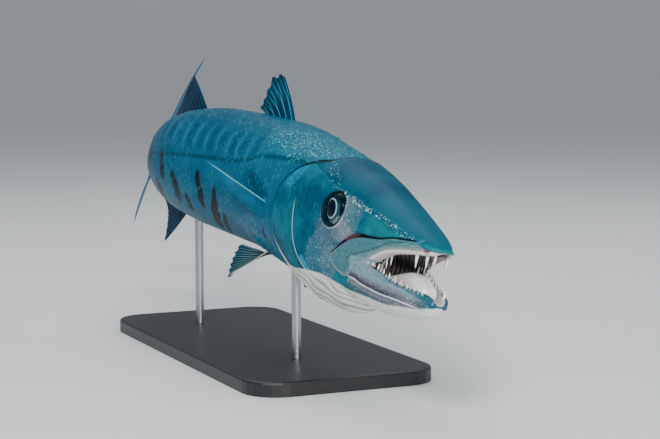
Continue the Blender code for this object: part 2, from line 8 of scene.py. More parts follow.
import bmesh
import bpy
import numpy as np
from bpy.props import FloatProperty, FloatVectorProperty, IntProperty, PointerProperty
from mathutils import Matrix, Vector


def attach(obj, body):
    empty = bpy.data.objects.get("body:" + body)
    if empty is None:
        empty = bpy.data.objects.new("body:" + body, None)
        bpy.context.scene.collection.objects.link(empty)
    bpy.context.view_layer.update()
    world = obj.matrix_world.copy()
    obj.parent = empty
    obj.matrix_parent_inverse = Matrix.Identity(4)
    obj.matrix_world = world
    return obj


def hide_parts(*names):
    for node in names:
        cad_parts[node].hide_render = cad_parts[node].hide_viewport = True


bl_info = {
    "name": "Great Barracuda",
    "version": (1, 0, 0),
    "blender": (4, 5, 0),
    "location": "3D View > Sidebar > Barracuda",
    "description": "Dresses the barracuda's solids with skin, scales, fins, eyes and teeth",
    "category": "Object",
}

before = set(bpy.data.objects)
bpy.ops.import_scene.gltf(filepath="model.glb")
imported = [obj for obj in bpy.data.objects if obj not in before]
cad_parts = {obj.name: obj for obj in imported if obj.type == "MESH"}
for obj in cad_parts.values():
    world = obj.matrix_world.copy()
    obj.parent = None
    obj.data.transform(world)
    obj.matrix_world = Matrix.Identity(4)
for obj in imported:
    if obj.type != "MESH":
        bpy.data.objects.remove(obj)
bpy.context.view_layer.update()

# Size and pose
LENGTH = 1.20 / 1.18
NOSE_DOWN = math.radians(4.2)
BANK = math.radians(10.7)
AXIS_HEIGHT = 0.228
BALANCE_X = 0.50
POSE = (
    (0.00, 0.0, 0.0, 0.0),
    (0.40, 0.0, 0.0, 0.0),
    (0.47, 0.9, -0.8, 0.0),
    (0.62, 7.4, -2.2, 0.0),
    (0.78, -4.8, -2.0, 0.0),
    (0.90, -13.8, -0.6, 4.0),
    (1.05, -21.8, 0.8, 11.0),
    (1.25, -30.5, 2.0, 13.0),
)

# Outer shape: place, top, bottom, half width, height of the widest line
BODY = (
    (0.000, 0.0060, -0.0040, 0.0095, 0.0000),
    (0.020, 0.0145, -0.0065, 0.0200, -0.0025),
    (0.050, 0.0240, -0.0125, 0.0295, -0.0060),
    (0.100, 0.0400, -0.0430, 0.0400, -0.0150),
    (0.130, 0.0490, -0.0800, 0.0450, -0.0200),
    (0.165, 0.0585, -0.1000, 0.0500, -0.0180),
    (0.230, 0.0710, -0.1050, 0.0595, -0.0140),
    (0.310, 0.0820, -0.0880, 0.0660, -0.0040),
    (0.440, 0.0915, -0.0760, 0.0650, 0.0030),
    (0.600, 0.0900, -0.0740, 0.0590, 0.0030),
    (0.700, 0.0800, -0.0670, 0.0500, 0.0020),
    (0.780, 0.0640, -0.0560, 0.0395, 0.0020),
    (0.860, 0.0480, -0.0440, 0.0275, 0.0010),
    (0.930, 0.0405, -0.0395, 0.0190, 0.0000),
    (1.000, 0.0430, -0.0430, 0.0085, 0.0000),
)
TOP_SQUARENESS = 2.5
BELLY_SQUARENESS = 2.1

# Hollow of the mouth: place, roof, floor, half width
MOUTH = (
    (-0.060, 0.0000, -0.0500, 0.0060),
    (0.000, 0.0000, -0.0530, 0.0090),
    (0.025, 0.0030, -0.0580, 0.0180),
    (0.060, 0.0040, -0.0650, 0.0255),
    (0.100, -0.0010, -0.0700, 0.0328),
    (0.150, -0.0140, -0.0740, 0.0350),
    (0.200, -0.0300, -0.0700, 0.0280),
    (0.235, -0.0420, -0.0600, 0.0120),
)

# Lower jaw: place, gum, underside, half width
JAW = (
    (-0.0125, -0.0500, -0.0595, 0.0045),
    (-0.0060, -0.0465, -0.0670, 0.0125),
    (0.012, -0.0440, -0.0735, 0.0215),
    (0.050, -0.0405, -0.0810, 0.0315),
    (0.090, -0.0320, -0.0850, 0.0380),
    (0.130, -0.0350, -0.0830, 0.0430),
    (0.185, -0.0470, -0.0750, 0.0430),
)

# Tongue: place, top, half width
TONGUE = (
    (0.006, -0.0500, 0.0040),
    (0.016, -0.0375, 0.0125),
    (0.045, -0.0290, 0.0165),
    (0.090, -0.0400, 0.0165),
    (0.140, -0.0520, 0.0130),
)

# Eye: place and height of its middle, radius, half depth and how far out it reaches
EYE = (0.180, 0.0125)
EYE_RADIUS = 0.0200
EYE_DEPTH = 0.0120
EYE_OUT = 0.0550

# How far the gill cover stands proud of the flank
GILL_DROP = 0.0022

# The two sides of the body
SIDES = ((1, "right"), (-1, "left"))

# Lines on the side of the head, as (place, height)
GILL_EDGE = (
    (0.215, 0.1100), (0.238, 0.0630), (0.258, 0.0565), (0.284, 0.0420), (0.305, 0.0180),
    (0.312, -0.0090), (0.306, -0.0380), (0.290, -0.0630), (0.260, -0.0830), (0.215, -0.0960),
    (0.160, -0.1070), (0.110, -0.1300),
)
CHEEK_EDGE = (
    (0.262, 0.020), (0.260, 0.000), (0.256, -0.020), (0.247, -0.045), (0.232, -0.061), (0.208, -0.074),
)
UPPER_GROOVE = (
    (0.030, 0.0060), (0.0625, 0.0023), (0.081, -0.0025), (0.102, -0.0050), (0.120, -0.0070),
    (0.134, -0.0112), (0.1475, -0.0193), (0.1585, -0.0281), (0.1675, -0.0360),
)
MAXILLA_END = (
    (0.1675, -0.0360), (0.1670, -0.0430), (0.1610, -0.0500), (0.1500, -0.0550), (0.1385, -0.0568),
    (0.1255, -0.0548),
)
UPPER_LIP = (
    (0.1255, -0.0548), (0.1210, -0.0467), (0.1100, -0.0371), (0.0980, -0.0291), (0.0800, -0.0184),
    (0.0605, -0.0112), (0.0370, -0.0066), (0.0200, -0.0040), (0.0050, -0.0010),
)
LIP_ARC = (
    (0.1300, -0.0430), (0.1330, -0.0372), (0.1280, -0.0312), (0.1175, -0.0272), (0.0940, -0.0179),
    (0.0780, -0.0103), (0.0640, -0.0040), (0.0450, 0.0005),
)
THROAT_LINE = (
    (0.320, -0.050), (0.290, -0.064), (0.260, -0.070), (0.230, -0.067), (0.1895, -0.0638),
    (0.156, -0.0668), (0.1306, -0.0692), (0.0964, -0.0688), (0.0707, -0.0690), (0.0533, -0.0684),
    (0.0296, -0.0652), (0.0093, -0.0625), (-0.0100, -0.0570),
)
BROW = (
    (0.171, 0.0325), (0.155, 0.0285), (0.1335, 0.0242), (0.107, 0.0213), (0.080, 0.0164), (0.0575, 0.0110),
    (0.0415, 0.0085), (0.020, 0.0065),
)
JAW_LINE = (
    (0.1255, -0.0545), (0.1142, -0.0547), (0.1028, -0.0572), (0.0811, -0.0592), (0.0617, -0.0602),
    (0.0395, -0.0600), (0.0192, -0.0608), (0.0014, -0.0618), (-0.0060, -0.0615),
)
JAW_FURROW = (
    (0.1220, -0.0480), (0.1100, -0.0492), (0.0964, -0.0495), (0.0811, -0.0508), (0.0617, -0.0525),
    (0.0395, -0.0540), (0.0192, -0.0560), (0.0014, -0.0580),
)

SIDE_LINE = (
    (0.250, 0.052), (0.300, 0.051), (0.374, 0.045), (0.430, 0.032), (0.469, 0.025), (0.573, 0.021),
    (0.700, 0.011), (0.850, 0.003), (1.000, 0.000),
)


# Shape of the fish
def curve(table, x):
    """Each column of the table at the places x, on a smooth curve that doesn't overshoot its rows."""
    rows = np.asarray(table, float)
    xs, values = rows[:, 0], rows[:, 1:]
    slope = np.diff(values, axis=0) / np.diff(xs)[:, None]
    product = slope[:-1] * slope[1:]
    middle = np.where(product > 0, 2 * product / (slope[:-1] + slope[1:] + 1e-12), 0)
    tangent = np.vstack([slope[:1], middle, slope[-1:]])
    x = np.clip(np.asarray(x, float), xs[0], xs[-1])
    i = np.clip(np.searchsorted(xs, x, side="right") - 1, 0, len(xs) - 2)
    step = (xs[i + 1] - xs[i])[..., None]
    t = (x - xs[i])[..., None] / step
    found = (2 * t**3 - 3 * t**2 + 1) * values[i] + (t**3 - 2 * t**2 + t) * step * tangent[i]
    return found + (3 * t**2 - 2 * t**3) * values[i + 1] + (t**3 - t**2) * step * tangent[i + 1]


def columns(table, x):
    """The table's columns at x, each as an array of its own."""
    return np.moveaxis(curve(table, x), -1, 0)


def ease(low, high, x):
    """0 below low, 1 above high and smooth between."""
    t = np.clip((x - low) / (high - low), 0, 1)
    return t * t * (3 - 2 * t)


def backbone():
    xs = np.linspace(-0.1, 1.3, 561)
    angles = np.radians(curve(POSE, xs))
    heading, rise = angles[:, 0], angles[:, 1]
    steps = np.stack([np.cos(heading) * np.cos(rise), np.sin(heading) * np.cos(rise), np.sin(rise)], 1)
    places = np.vstack([np.zeros(3), np.cumsum((steps[1:] + steps[:-1]) / 2, axis=0) * (xs[1] - xs[0])])
    start = [np.interp(0.0, xs, column) for column in places.T]
    return xs, places - start, angles


BACKBONE = backbone()
LEVEL_RIGHT = np.array((-1.0, 0.0, 0.0))
LEVEL_UP = np.array((0.0, -math.sin(NOSE_DOWN), math.cos(NOSE_DOWN)))
BACK = np.array((0.0, math.cos(NOSE_DOWN), math.sin(NOSE_DOWN)))
RIGHT = math.cos(BANK) * LEVEL_RIGHT + math.sin(BANK) * LEVEL_UP
UP = math.cos(BANK) * LEVEL_UP - math.sin(BANK) * LEVEL_RIGHT
AXES = np.stack([BACK, RIGHT, UP])


def bent(points):
    """Points of the straight fish on the bent one, still in shares of its length."""
    xs, places, angles = BACKBONE
    x, y, z = np.moveaxis(np.asarray(points, float), -1, 0)
    px, py, pz = (np.interp(x, xs, column) for column in places.T)
    heading, rise, twist = (np.interp(x, xs, column) for column in angles.T)
    y, z = y * np.cos(twist) - z * np.sin(twist), y * np.sin(twist) + z * np.cos(twist)
    px = px - np.sin(heading) * y - np.cos(heading) * np.sin(rise) * z
    py = py + np.cos(heading) * y - np.sin(heading) * np.sin(rise) * z
    return np.stack([px, py, pz + np.cos(rise) * z], -1)


OFFSET = np.array((0, 0, AXIS_HEIGHT)) - bent((BALANCE_X, 0, 0)) @ AXES * LENGTH


def place(points):
    """Points of the straight fish where the posed one has them, in metres."""
    return bent(points) @ AXES * LENGTH + OFFSET


def superellipse(x, angle, top, bottom, half, wide, square, grow=0.0):
    c, s = np.cos(angle), np.sin(angle)
    power = 2 / np.where(s > 0, square[0], square[1])
    reach = np.where(s > 0, top - wide, wide - bottom) + grow
    y = (half + grow) * np.sign(c) * np.abs(c) ** power
    z = wide + reach * np.sign(s) * np.abs(s) ** power
    return np.stack(np.broadcast_arrays(x, y, z), -1)


def outer(x, angle, grow=0.0):
    """The fish's outer surface at places along it and angles round it, a quarter turn being the back."""
    top, bottom, half, wide = columns(BODY, x)
    return superellipse(x, angle, top, bottom, half, wide, (TOP_SQUARENESS, BELLY_SQUARENESS), grow)


def side_at(x, z):
    """How far out the body's side is at this place and height."""
    top, bottom, half, wide = columns(BODY, x)
    reach = np.where(z > wide, top - wide, wide - bottom)
    power = np.where(z > wide, TOP_SQUARENESS, BELLY_SQUARENESS)
    share = np.clip(np.abs(z - wide) / reach, 0, 1)
    return half * (1 - share**power) ** (1 / power)


def path_points(path, count=60):
    numbered = [(i, *p) for i, p in enumerate(path)]
    return curve(numbered, np.linspace(0, len(path) - 1, count))


def near_path(points, path, smooth=True):
    """For each (place, height): how far the path is, on which side of it, and how far along it."""
    line = path_points(path)[:, :2] if smooth else np.asarray(path)
    start, step = line[:-1], np.diff(line, axis=0)
    best = np.full(len(points), 9.0)
    side = np.zeros(len(points))
    along = np.zeros(len(points))
    for i, (a, d) in enumerate(zip(start, step)):
        t = np.clip(((points - a) @ d) / (d @ d + 1e-15), 0, 1)
        away = points - a - t[:, None] * d
        distance = np.hypot(away[:, 0], away[:, 1])
        closer = distance < best
        best = np.where(closer, distance, best)
        side = np.where(closer, np.sign(d[0] * away[:, 1] - d[1] * away[:, 0]), side)
        along = np.where(closer, (i + t) / len(step), along)
    return best, side, along


def bump(distance, width):
    return np.exp(-((distance / width) ** 2))


# Mesh helpers
def mesh_object(name, mesh):
    made = bpy.data.objects.new(name, mesh)
    bpy.context.scene.collection.objects.link(made)
    return made


def sheet_mesh(name, points, wrap=False, fill=False):
    """A mesh over rows of points. wrap closes it into a tube, and fill shuts the ends."""
    if wrap:
        points = np.concatenate([points, points[:, :1]], 1)
    rows, across = points.shape[:2]
    bm = bmesh.new()
    bmesh.ops.create_grid(bm, x_segments=across - 1, y_segments=rows - 1, size=0.5)
    mesh = bpy.data.meshes.new(name)
    bm.to_mesh(mesh)
    bm.free()
    flat = read_points(mesh).round(6)
    ordered = np.empty_like(flat)
    ordered[np.lexsort((flat[:, 0], flat[:, 1]))] = points.reshape(-1, 3)
    write_points(mesh, ordered)
    if wrap or fill:
        weld(mesh, fill)
    return mesh


def weld(mesh, fill=False):
    """Merges points that meet, shuts open ends where asked, and turns the faces outwards."""
    bm = bmesh.new()
    bm.from_mesh(mesh)
    bmesh.ops.remove_doubles(bm, verts=bm.verts, dist=1e-7)
    if fill:
        bmesh.ops.holes_fill(bm, edges=bm.edges)
    bm.normal_update()
    bmesh.ops.recalc_face_normals(bm, faces=bm.faces)
    bm.to_mesh(mesh)
    bm.free()


def read_points(mesh):
    found = np.empty(len(mesh.vertices) * 3, np.float32)
    mesh.vertices.foreach_get("co", found)
    return found.reshape(-1, 3).astype(float)


def write_points(mesh, points):
    mesh.vertices.foreach_set("co", np.asarray(points, np.float32).ravel())
    mesh.update()


def read_normals(mesh):
    found = np.empty(len(mesh.vertices) * 3, np.float32)
    mesh.vertices.foreach_get("normal", found)
    return found.reshape(-1, 3).astype(float)


def store(mesh, name, values, kind="FLOAT"):
    """Keeps a value or a vector at each point of the mesh, for its material to read."""
    values = np.asarray(values, np.float32)
    layer = mesh.attributes.new(name, kind, "POINT")
    layer.data.foreach_set("vector" if kind == "FLOAT_VECTOR" else "value", values.ravel())


def with_modifier(obj, kind, **settings):
    """Adds a modifier to the object and applies it."""
    modifier = obj.modifiers.new(kind.title(), kind)
    for key, value in settings.items():
        setattr(modifier, key, value)
    graph = bpy.context.evaluated_depsgraph_get()
    made = bpy.data.meshes.new_from_object(obj.evaluated_get(graph))
    obj.modifiers.clear()
    old, obj.data = obj.data, made
    bpy.data.meshes.remove(old)
    return obj


def combine(obj, other, operation):
    """Joins, cuts or trims obj by another object, which is then removed."""
    with_modifier(obj, "BOOLEAN", operation=operation, solver="MANIFOLD", object=other)
    bpy.data.objects.remove(other)
    return obj


def join(name, meshes):
    """One object from several meshes."""
    bm = bmesh.new()
    for mesh in meshes:
        bm.from_mesh(mesh)
    joined = bpy.data.meshes.new(name)
    bm.to_mesh(joined)
    bm.free()
    for mesh in meshes:
        bpy.data.meshes.remove(mesh)
    return mesh_object(name, joined)


def finish_piece(obj, material, nodes=()):
    """Gives a piece its material and slot, and has it ride on the body in place of the CAD nodes."""
    obj.data.materials.clear()
    obj.data.materials.append(material)
    obj.data.shade_smooth()
    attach(obj, "root")
    if nodes:
        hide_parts(*nodes)


# Shader helpers
def tint(name):
    """A colour as it stands in the panel."""
    return tuple(getattr(bpy.context.scene.barracuda_colours, name))


class Value:
    """A socket that adds Math nodes when it is used in an expression."""

    def __init__(self, graph, socket):
        self.graph = graph
        self.socket = socket

    def math(self, operation, *others, clamp=False):
        node = self.graph.tree.nodes.new("ShaderNodeMath")
        node.operation = operation
        node.use_clamp = clamp
        for slot, value in zip(node.inputs, (self, *others)):
            self.graph.feed(slot, value)
        return Value(self.graph, node.outputs[0])

    def __add__(self, other):
        return self.math("ADD", other)

    def __sub__(self, other):
        return self.math("SUBTRACT", other)

    def __rsub__(self, other):
        return (self * -1.0) + other

    def __mul__(self, other):
        return self.math("MULTIPLY", other)

    def __truediv__(self, other):
        return self.math("DIVIDE", other)

    def __pow__(self, other):
        return self.math("POWER", other)

    def __neg__(self):
        return self * -1.0

    def __abs__(self):
        return self.math("ABSOLUTE")

    __radd__ = __add__
    __rmul__ = __mul__

    def clamp(self):
        return self.math("ADD", 0.0, clamp=True)

    def most(self, other):
        return self.math("MAXIMUM", other)

    def least(self, other):
        return self.math("MINIMUM", other)

    def sine(self):
        return self.math("SINE")


class Graph:
    """A material's nodes. node() adds any node, the other methods the common ones."""

    def __init__(self, name, **settings):
        self.material = bpy.data.materials.new(name)
        self.material.use_nodes = True
        self.tree = self.material.node_tree
        self.shader = self.tree.nodes["Principled BSDF"]
        self.set(**settings)

    def feed(self, slot, value):
        if isinstance(value, Value):
            self.tree.links.new(value.socket, slot)
        elif isinstance(value, (tuple, list)) and slot.type == "RGBA":
            slot.default_value = (*value[:3], 1.0)
        else:
            slot.default_value = value

    def set(self, **settings):
        """Sets or links the shader's sockets, named in lower case with underscores."""
        for key, value in settings.items():
            self.feed(self.shader.inputs[key.replace("_", " ").title().replace("Ior", "IOR")], value)

    def node(self, kind, settings=None, inputs=None, output=0):
        node = self.tree.nodes.new(kind)
        for key, value in (settings or {}).items():
            setattr(node, key, value)
        for key, value in (inputs or {}).items():
            self.feed(node.inputs[key], value)
        return Value(self, node.outputs[output])

    def attribute(self, name, vector=False):
        return self.node(
            "ShaderNodeAttribute", {"attribute_name": name}, output="Vector" if vector else "Fac",
        )

    def split(self, vector):
        node = self.tree.nodes.new("ShaderNodeSeparateXYZ")
        self.feed(node.inputs[0], vector)
        return [Value(self, socket) for socket in node.outputs]

    def vector(self, x, y, z):
        return self.node("ShaderNodeCombineXYZ", inputs={0: x, 1: y, 2: z})

    def scaled(self, vector, x, y, z):
        return self.node("ShaderNodeVectorMath", {"operation": "MULTIPLY"}, {0: vector, 1: (x, y, z)})

    def ease(self, low, high, value):
        """0 below low, 1 above high and smooth between."""
        return self.node(
            "ShaderNodeMapRange", {"interpolation_type": "SMOOTHSTEP"},
            {"Value": value, "From Min": low, "From Max": high},
        )

    def mix(self, share, first, second):
        return self.node("ShaderNodeMix", {"data_type": "RGBA"}, {0: share, 6: first, 7: second}, output=2)

    def noise(self, vector, scale, detail=3.0, roughness=0.5, distortion=0.0):
        return self.node("ShaderNodeTexNoise", inputs={
            "Vector": vector, "Scale": scale, "Detail": detail, "Roughness": roughness,
            "Distortion": distortion})

    def cells(self, vector, scale, feature="F1", output="Distance"):
        return self.node(
            "ShaderNodeTexVoronoi", {"feature": feature}, {"Vector": vector, "Scale": scale},
            output=output,
        )

    def bump(self, height, distance, strength=1.0, normal=None):
        inputs = {"Strength": strength, "Distance": distance, "Height": height}
        if normal:
            inputs["Normal"] = normal
        return self.node("ShaderNodeBump", inputs=inputs)


def shade(red, green, blue):
    """A colour as a picture shows it, 0 to 255, in the linear values that a shader takes."""
    shares = (red / 255, green / 255, blue / 255)
    return tuple(c / 12.92 if c < 0.04045 else ((c + 0.055) / 1.055) ** 2.4 for c in shares)


# Skin
LIP_BAND = (
    (0.004, -0.0005, 0.0040), (0.050, -0.0068, 0.0065), (0.095, -0.0265, 0.0085), (0.133, -0.0500, 0.0125),
)


def arc_table(places=121, steps=720):
    """Angles at even shares of the girth, from the back down the right side and up the left."""
    xs = np.linspace(0.0, 1.03, places)
    angles = np.linspace(math.pi / 2, math.pi / 2 - 2 * math.pi, steps + 1)
    shares = np.linspace(0, 1, 257)
    found, girths = [], []
    for x in xs:
        ring = outer(np.full(angles.shape, x), np.remainder(angles + math.pi, 2 * math.pi) - math.pi)
        length = np.concatenate([[0], np.cumsum(np.linalg.norm(np.diff(ring, axis=0), axis=1))])
        found.append(np.interp(shares * length[-1], length, angles))
        girths.append(length[-1])
    return xs, np.array(found), np.array(girths)


ARC = arc_table()


def around(x, share, grow=0.0):
    """The body's surface at a place along it and a share of the girth, counted from the back."""
    xs, table, _ = ARC
    share = np.remainder(share, 1.0)
    a = np.clip(x, xs[0], xs[-1]) / (xs[1] - xs[0])
    b = share * (table.shape[1] - 1)
    i, j = np.minimum(a.astype(int), len(xs) - 2), np.minimum(b.astype(int), table.shape[1] - 2)
    p, q = a - i, b - j
    angle = (1 - p) * ((1 - q) * table[i, j] + q * table[i, j + 1])
    angle = angle + p * ((1 - q) * table[i + 1, j] + q * table[i + 1, j + 1])
    return outer(x, np.remainder(angle + math.pi, 2 * math.pi) - math.pi, grow)


def gill_step(x):
    """How much lower the flank lies behind the gill cover."""
    return GILL_DROP * np.clip((0.38 - x) / 0.07, 0, 1)


def body_solid():
    x = np.concatenate(
        [np.linspace(-0.0035, 0.006, 10), np.linspace(0.008, 1.0, 400), np.linspace(1.002, 1.024, 12)]
    )
    share = np.sqrt(np.clip(1 - ((0.006 - x) / 0.0095) ** 2, 0.0004, 1))
    share[x > 0.006] = 1
    tail = np.sqrt(np.clip(1 - (np.clip(x - 1.0, 0, 1) / 0.0245) ** 2, 0, 1))
    angle = np.linspace(-math.pi, math.pi, 169)[:-1]
    grid = outer(x[:, None], angle[None])
    middle = np.stack([x, 0 * x, np.where(x < 0.5, 0.001, 0.0)], 1)[:, None]
    grid = middle + (grid - middle) * share[:, None, None]
    grid[:, :, 1] *= tail[:, None]
    grid[:, :, 2] *= (1 - 0.10 * (1 - tail))[:, None]
    return mesh_object("body", sheet_mesh("body", grid, wrap=True, fill=True))


def tube(name, table, build, count, steps):
    """A closed loft along a table: build(x, angle, columns) gives its points."""
    x = np.linspace(table[0][0], table[-1][0], count)
    angle = np.linspace(-math.pi, math.pi, steps + 1)[:-1]
    values = [column[:, None] for column in columns(table, x)]
    return mesh_object(
        name, sheet_mesh(name, build(x[:, None], angle[None], *values), wrap=True, fill=True),
    )


def mouth_solid(grow=0.0):
    def build(x, angle, roof, floor, half):
        return superellipse(x, angle, roof, floor, half, (roof + floor) / 2, (2.8, 2.8), grow)

    return tube("hollow", MOUTH, build, 140, 96)


def jaw_solid():
    x = np.concatenate([np.linspace(JAW[0][0], -0.008, 8), np.linspace(-0.006, JAW[-1][0], 110)])
    angle = np.linspace(-math.pi, math.pi, 121)[:-1]
    gum, under, half = (column[:, None] for column in columns(JAW, x))
    grid = superellipse(x[:, None], angle[None], gum, under, half, gum - 0.32 * (gum - under), (3.2, 2.2))
    return mesh_object("jaw", sheet_mesh("jaw", grid, wrap=True, fill=True))


def lip_solid(side):
    path = path_points(LIP_BAND, 60)
    along = np.gradient(path[:, :2], axis=0)
    along /= np.linalg.norm(along, axis=1)[:, None]
    t = np.linspace(0, 1, 60)
    size = path[:, 2] * np.sqrt(np.clip(1 - t**8, 0.05, 1))
    angle = np.linspace(0, 2 * math.pi, 33)[:-1]
    across = (size * along[:, 1])[:, None] * np.cos(angle), (-size * along[:, 0])[:, None] * np.cos(angle)
    y = side * (side_at(path[:, 0], path[:, 1]) - 0.0022)[:, None] + side * 0.0040 * np.sin(angle)
    grid = np.stack([path[:, :1] + across[0], y, path[:, 1:2] + across[1]], -1)
    return mesh_object("lip", sheet_mesh("lip", grid, wrap=True, fill=True))


def mouth_depth(points):
    """Below 1 in the hollow of the mouth, and 1 on its wall."""
    x, y, z = points.T
    roof, floor, half = columns(MOUTH, x)
    reach = (roof - floor) / 2
    return ((np.abs(y) / half) ** 2.8 + (np.abs(z - (roof + floor) / 2) / reach) ** 2.8) ** (1 / 2.8)


def signed(flat, path, probe):
    """How far each (place, height) is from a path, above 0 on the probe's side of it."""
    distance, way, along = near_path(np.vstack([flat, [probe]]), path)
    return distance[:-1] * np.where(way[:-1] == way[-1], 1, -1), along[:-1]


def within(flat, *paths):
    """How far each (place, height) lies inside the closed outline that the paths make, below 0 outside."""
    outline = np.vstack([path_points(path, 40) for path in paths])
    distance, _, _ = near_path(flat, np.vstack([outline, outline[:1]]), smooth=False)
    x, z = flat.T
    crossings = np.zeros(len(flat), int)
    for (ax, az), (bx, bz) in zip(outline, np.roll(outline, -1, axis=0)):
        spans = (az > z) != (bz > z)
        crossings += spans & (x < ax + (bx - ax) * (z - az) / (bz - az if bz != az else 1e-9))
    return np.where(crossings % 2 == 1, distance, -distance)


def measure(points, normals):
    """Distances from the lines that the relief and the colours of the head follow."""
    x, y, z = points.T
    flat = np.stack([x, z], 1)
    front = flat[x < 0.36]

    def head(measured, beyond):
        """Values measured on the head, and one value for the rest of the body."""
        found = np.full(len(flat), float(beyond))
        found[x < 0.36] = measured
        return found

    m = {"inside": np.where(x < 0.30, 1 - ease(1.02, 1.09, mouth_depth(points)), 0.0)}
    m["outer"] = 1 - m["inside"]
    m["side"] = m["outer"] * ease(0.20, 0.65, np.abs(normals[:, 1]))
    for name, path, probe, beyond in (
        ("ahead", GILL_EDGE, (0.18, 0.0), -0.1),
        ("cheek", CHEEK_EDGE, (0.18, 0.0), -0.1),
        ("groove", UPPER_GROOVE, (0.10, 0.03), 0.1),
        ("arc", LIP_ARC, (0.10, -0.025), -0.1),
        ("lip", UPPER_LIP, (0.10, 0.0), 0.1),
        ("jaw_line", JAW_LINE, (0.06, -0.045), 0.1),
        ("furrow", JAW_FURROW, (0.06, -0.040), 0.1),
        ("brow", BROW, (0.10, 0.06), 0.1),
        ("throat", THROAT_LINE, (0.15, -0.12), -0.1),
    ):
        distance, along = signed(front, path, probe)
        m[name], m[name + "_along"] = head(distance, beyond), head(along, 0)
    m["groove"] = np.abs(m["groove"])
    m["maxilla"] = head(within(front, UPPER_GROOVE, MAXILLA_END, UPPER_LIP), -0.1)
    m["side_line"], _ = signed(flat, SIDE_LINE, (0.5, 0.08))
    m["eye"] = np.hypot(x - EYE[0], z - EYE[1])
    jaw = (x < 0.126) & (z < curve(JAW, np.clip(x, -0.0125, 0.185))[:, 0] + 0.004)
    m["jaw"] = m["outer"] * jaw
    below = m["outer"] * ease(0.0, 0.006, m["throat"]) * ease(0.0, 0.004, m["ahead"])
    phase = m["ahead"] / 0.0084 * 2 * math.pi + 1.9 * np.sin(x * 47 + 1.5 * np.sin(z * 160))
    wave = np.sin(phase + 1.1 * np.sin(x * 131 + z * 90))
    m["fold"] = np.where(jaw, 0.0, (0.5 - 0.5 * wave) ** 2.5 * below)
    return m


def relief(points, m):
    """How far each point of the plain skin moves out."""
    x, y, z = points.T
    side, shell = m["side"], m["outer"]
    ahead, gill = m["ahead"], m["ahead_along"]
    rim = ease(0.04, 0.14, gill) * (1 - ease(0.90, 1.0, gill)) * shell
    move = -gill_step(x) * ease(0.0004, -0.0016, ahead) * ease(0.0, 0.08, gill)
    move -= 0.0017 * bump(ahead + 0.0014, 0.0012) * rim
    move += 0.0005 * bump(ahead - 0.0025, 0.0022) * rim
    move -= 0.0012 * bump(m["cheek"], 0.0012) * side * ease(0.024, 0.010, z)
    move += 0.0005 * bump(m["cheek"] - 0.0030, 0.0020) * side
    maxilla = m["maxilla"]
    move += 0.0015 * (1 - np.exp(-np.maximum(maxilla, 0) / 0.0035)) * side
    move -= (
        0.0012 * bump(maxilla + 0.0016, 0.0020) * (maxilla < 0) * side * ease(0.055, 0.090, x)
        * ease(-0.062, -0.056, z)
    )
    width = 0.0010 + 0.0020 * bump(m["groove_along"] - 0.66, 0.26)
    move -= (0.0010 + 0.0030 * bump(m["groove_along"] - 0.66, 0.30)) * bump(m["groove"], width) * side
    move -= 0.0007 * bump(m["arc"], 0.0011) * side * (maxilla > 0.001)
    lines = bump(m["lip"] - 0.0028, 0.0007) + bump(m["lip"] - 0.0052, 0.0008)
    move -= 0.0004 * lines * side * (maxilla > 0) * ease(0.02, 0.05, x)
    crinkle = (
        side * ease(-0.001, -0.004, maxilla) * ease(-0.034, -0.022, maxilla) * ease(0.160, 0.172, x)
        * ease(-0.020, -0.034, z)
    )
    move += 0.0005 * np.sin(maxilla / 0.0043 * 2 * math.pi + 30 * z) * crinkle
    move += 0.0007 * bump(m["brow"], 0.0028) * shell * ease(0.02, 0.05, x)
    move -= 0.0010 * bump(m["brow"] + 0.0065, 0.0040) * side * ease(0.165, 0.145, x) * ease(0.03, 0.06, x)
    eye = m["eye"]
    move += 0.0010 * bump(eye - 0.0207, 0.0015) * side
    move -= 0.0105 * ease(0.0196, 0.0181, eye) * side
    move -= 0.0005 * bump(eye - 0.0243, 0.0018) * side
    jaw = m["jaw"] * ease(0.20, 0.60, side)
    move -= 0.0017 * bump(m["jaw_line"] - 0.0030, 0.0026) * jaw * ease(0.0, 0.012, x)
    move += 0.0005 * bump(m["jaw_line"], 0.0009) * jaw
    move -= 0.0008 * bump(m["jaw_line"] + 0.0026, 0.0016) * jaw
    for nx, nz, size in ((0.1300, 0.0290, 0.0022), (0.1390, 0.0275, 0.0017)):
        away = np.hypot(x - nx, z - nz)
        move += 0.0005 * bump(away - size * 1.2, size * 0.5) * side
        move -= 0.0026 * ease(size * 1.15, size * 0.6, away) * side
    move -= 0.0011 * m["fold"]
    walls = m["inside"] * ease(0.3, 0.8, side + m["inside"]) * ease(0.03, 0.06, x)
    move += 0.0009 * np.sin(x / 0.0095 * 2 * math.pi + 60 * z) * walls
    return move


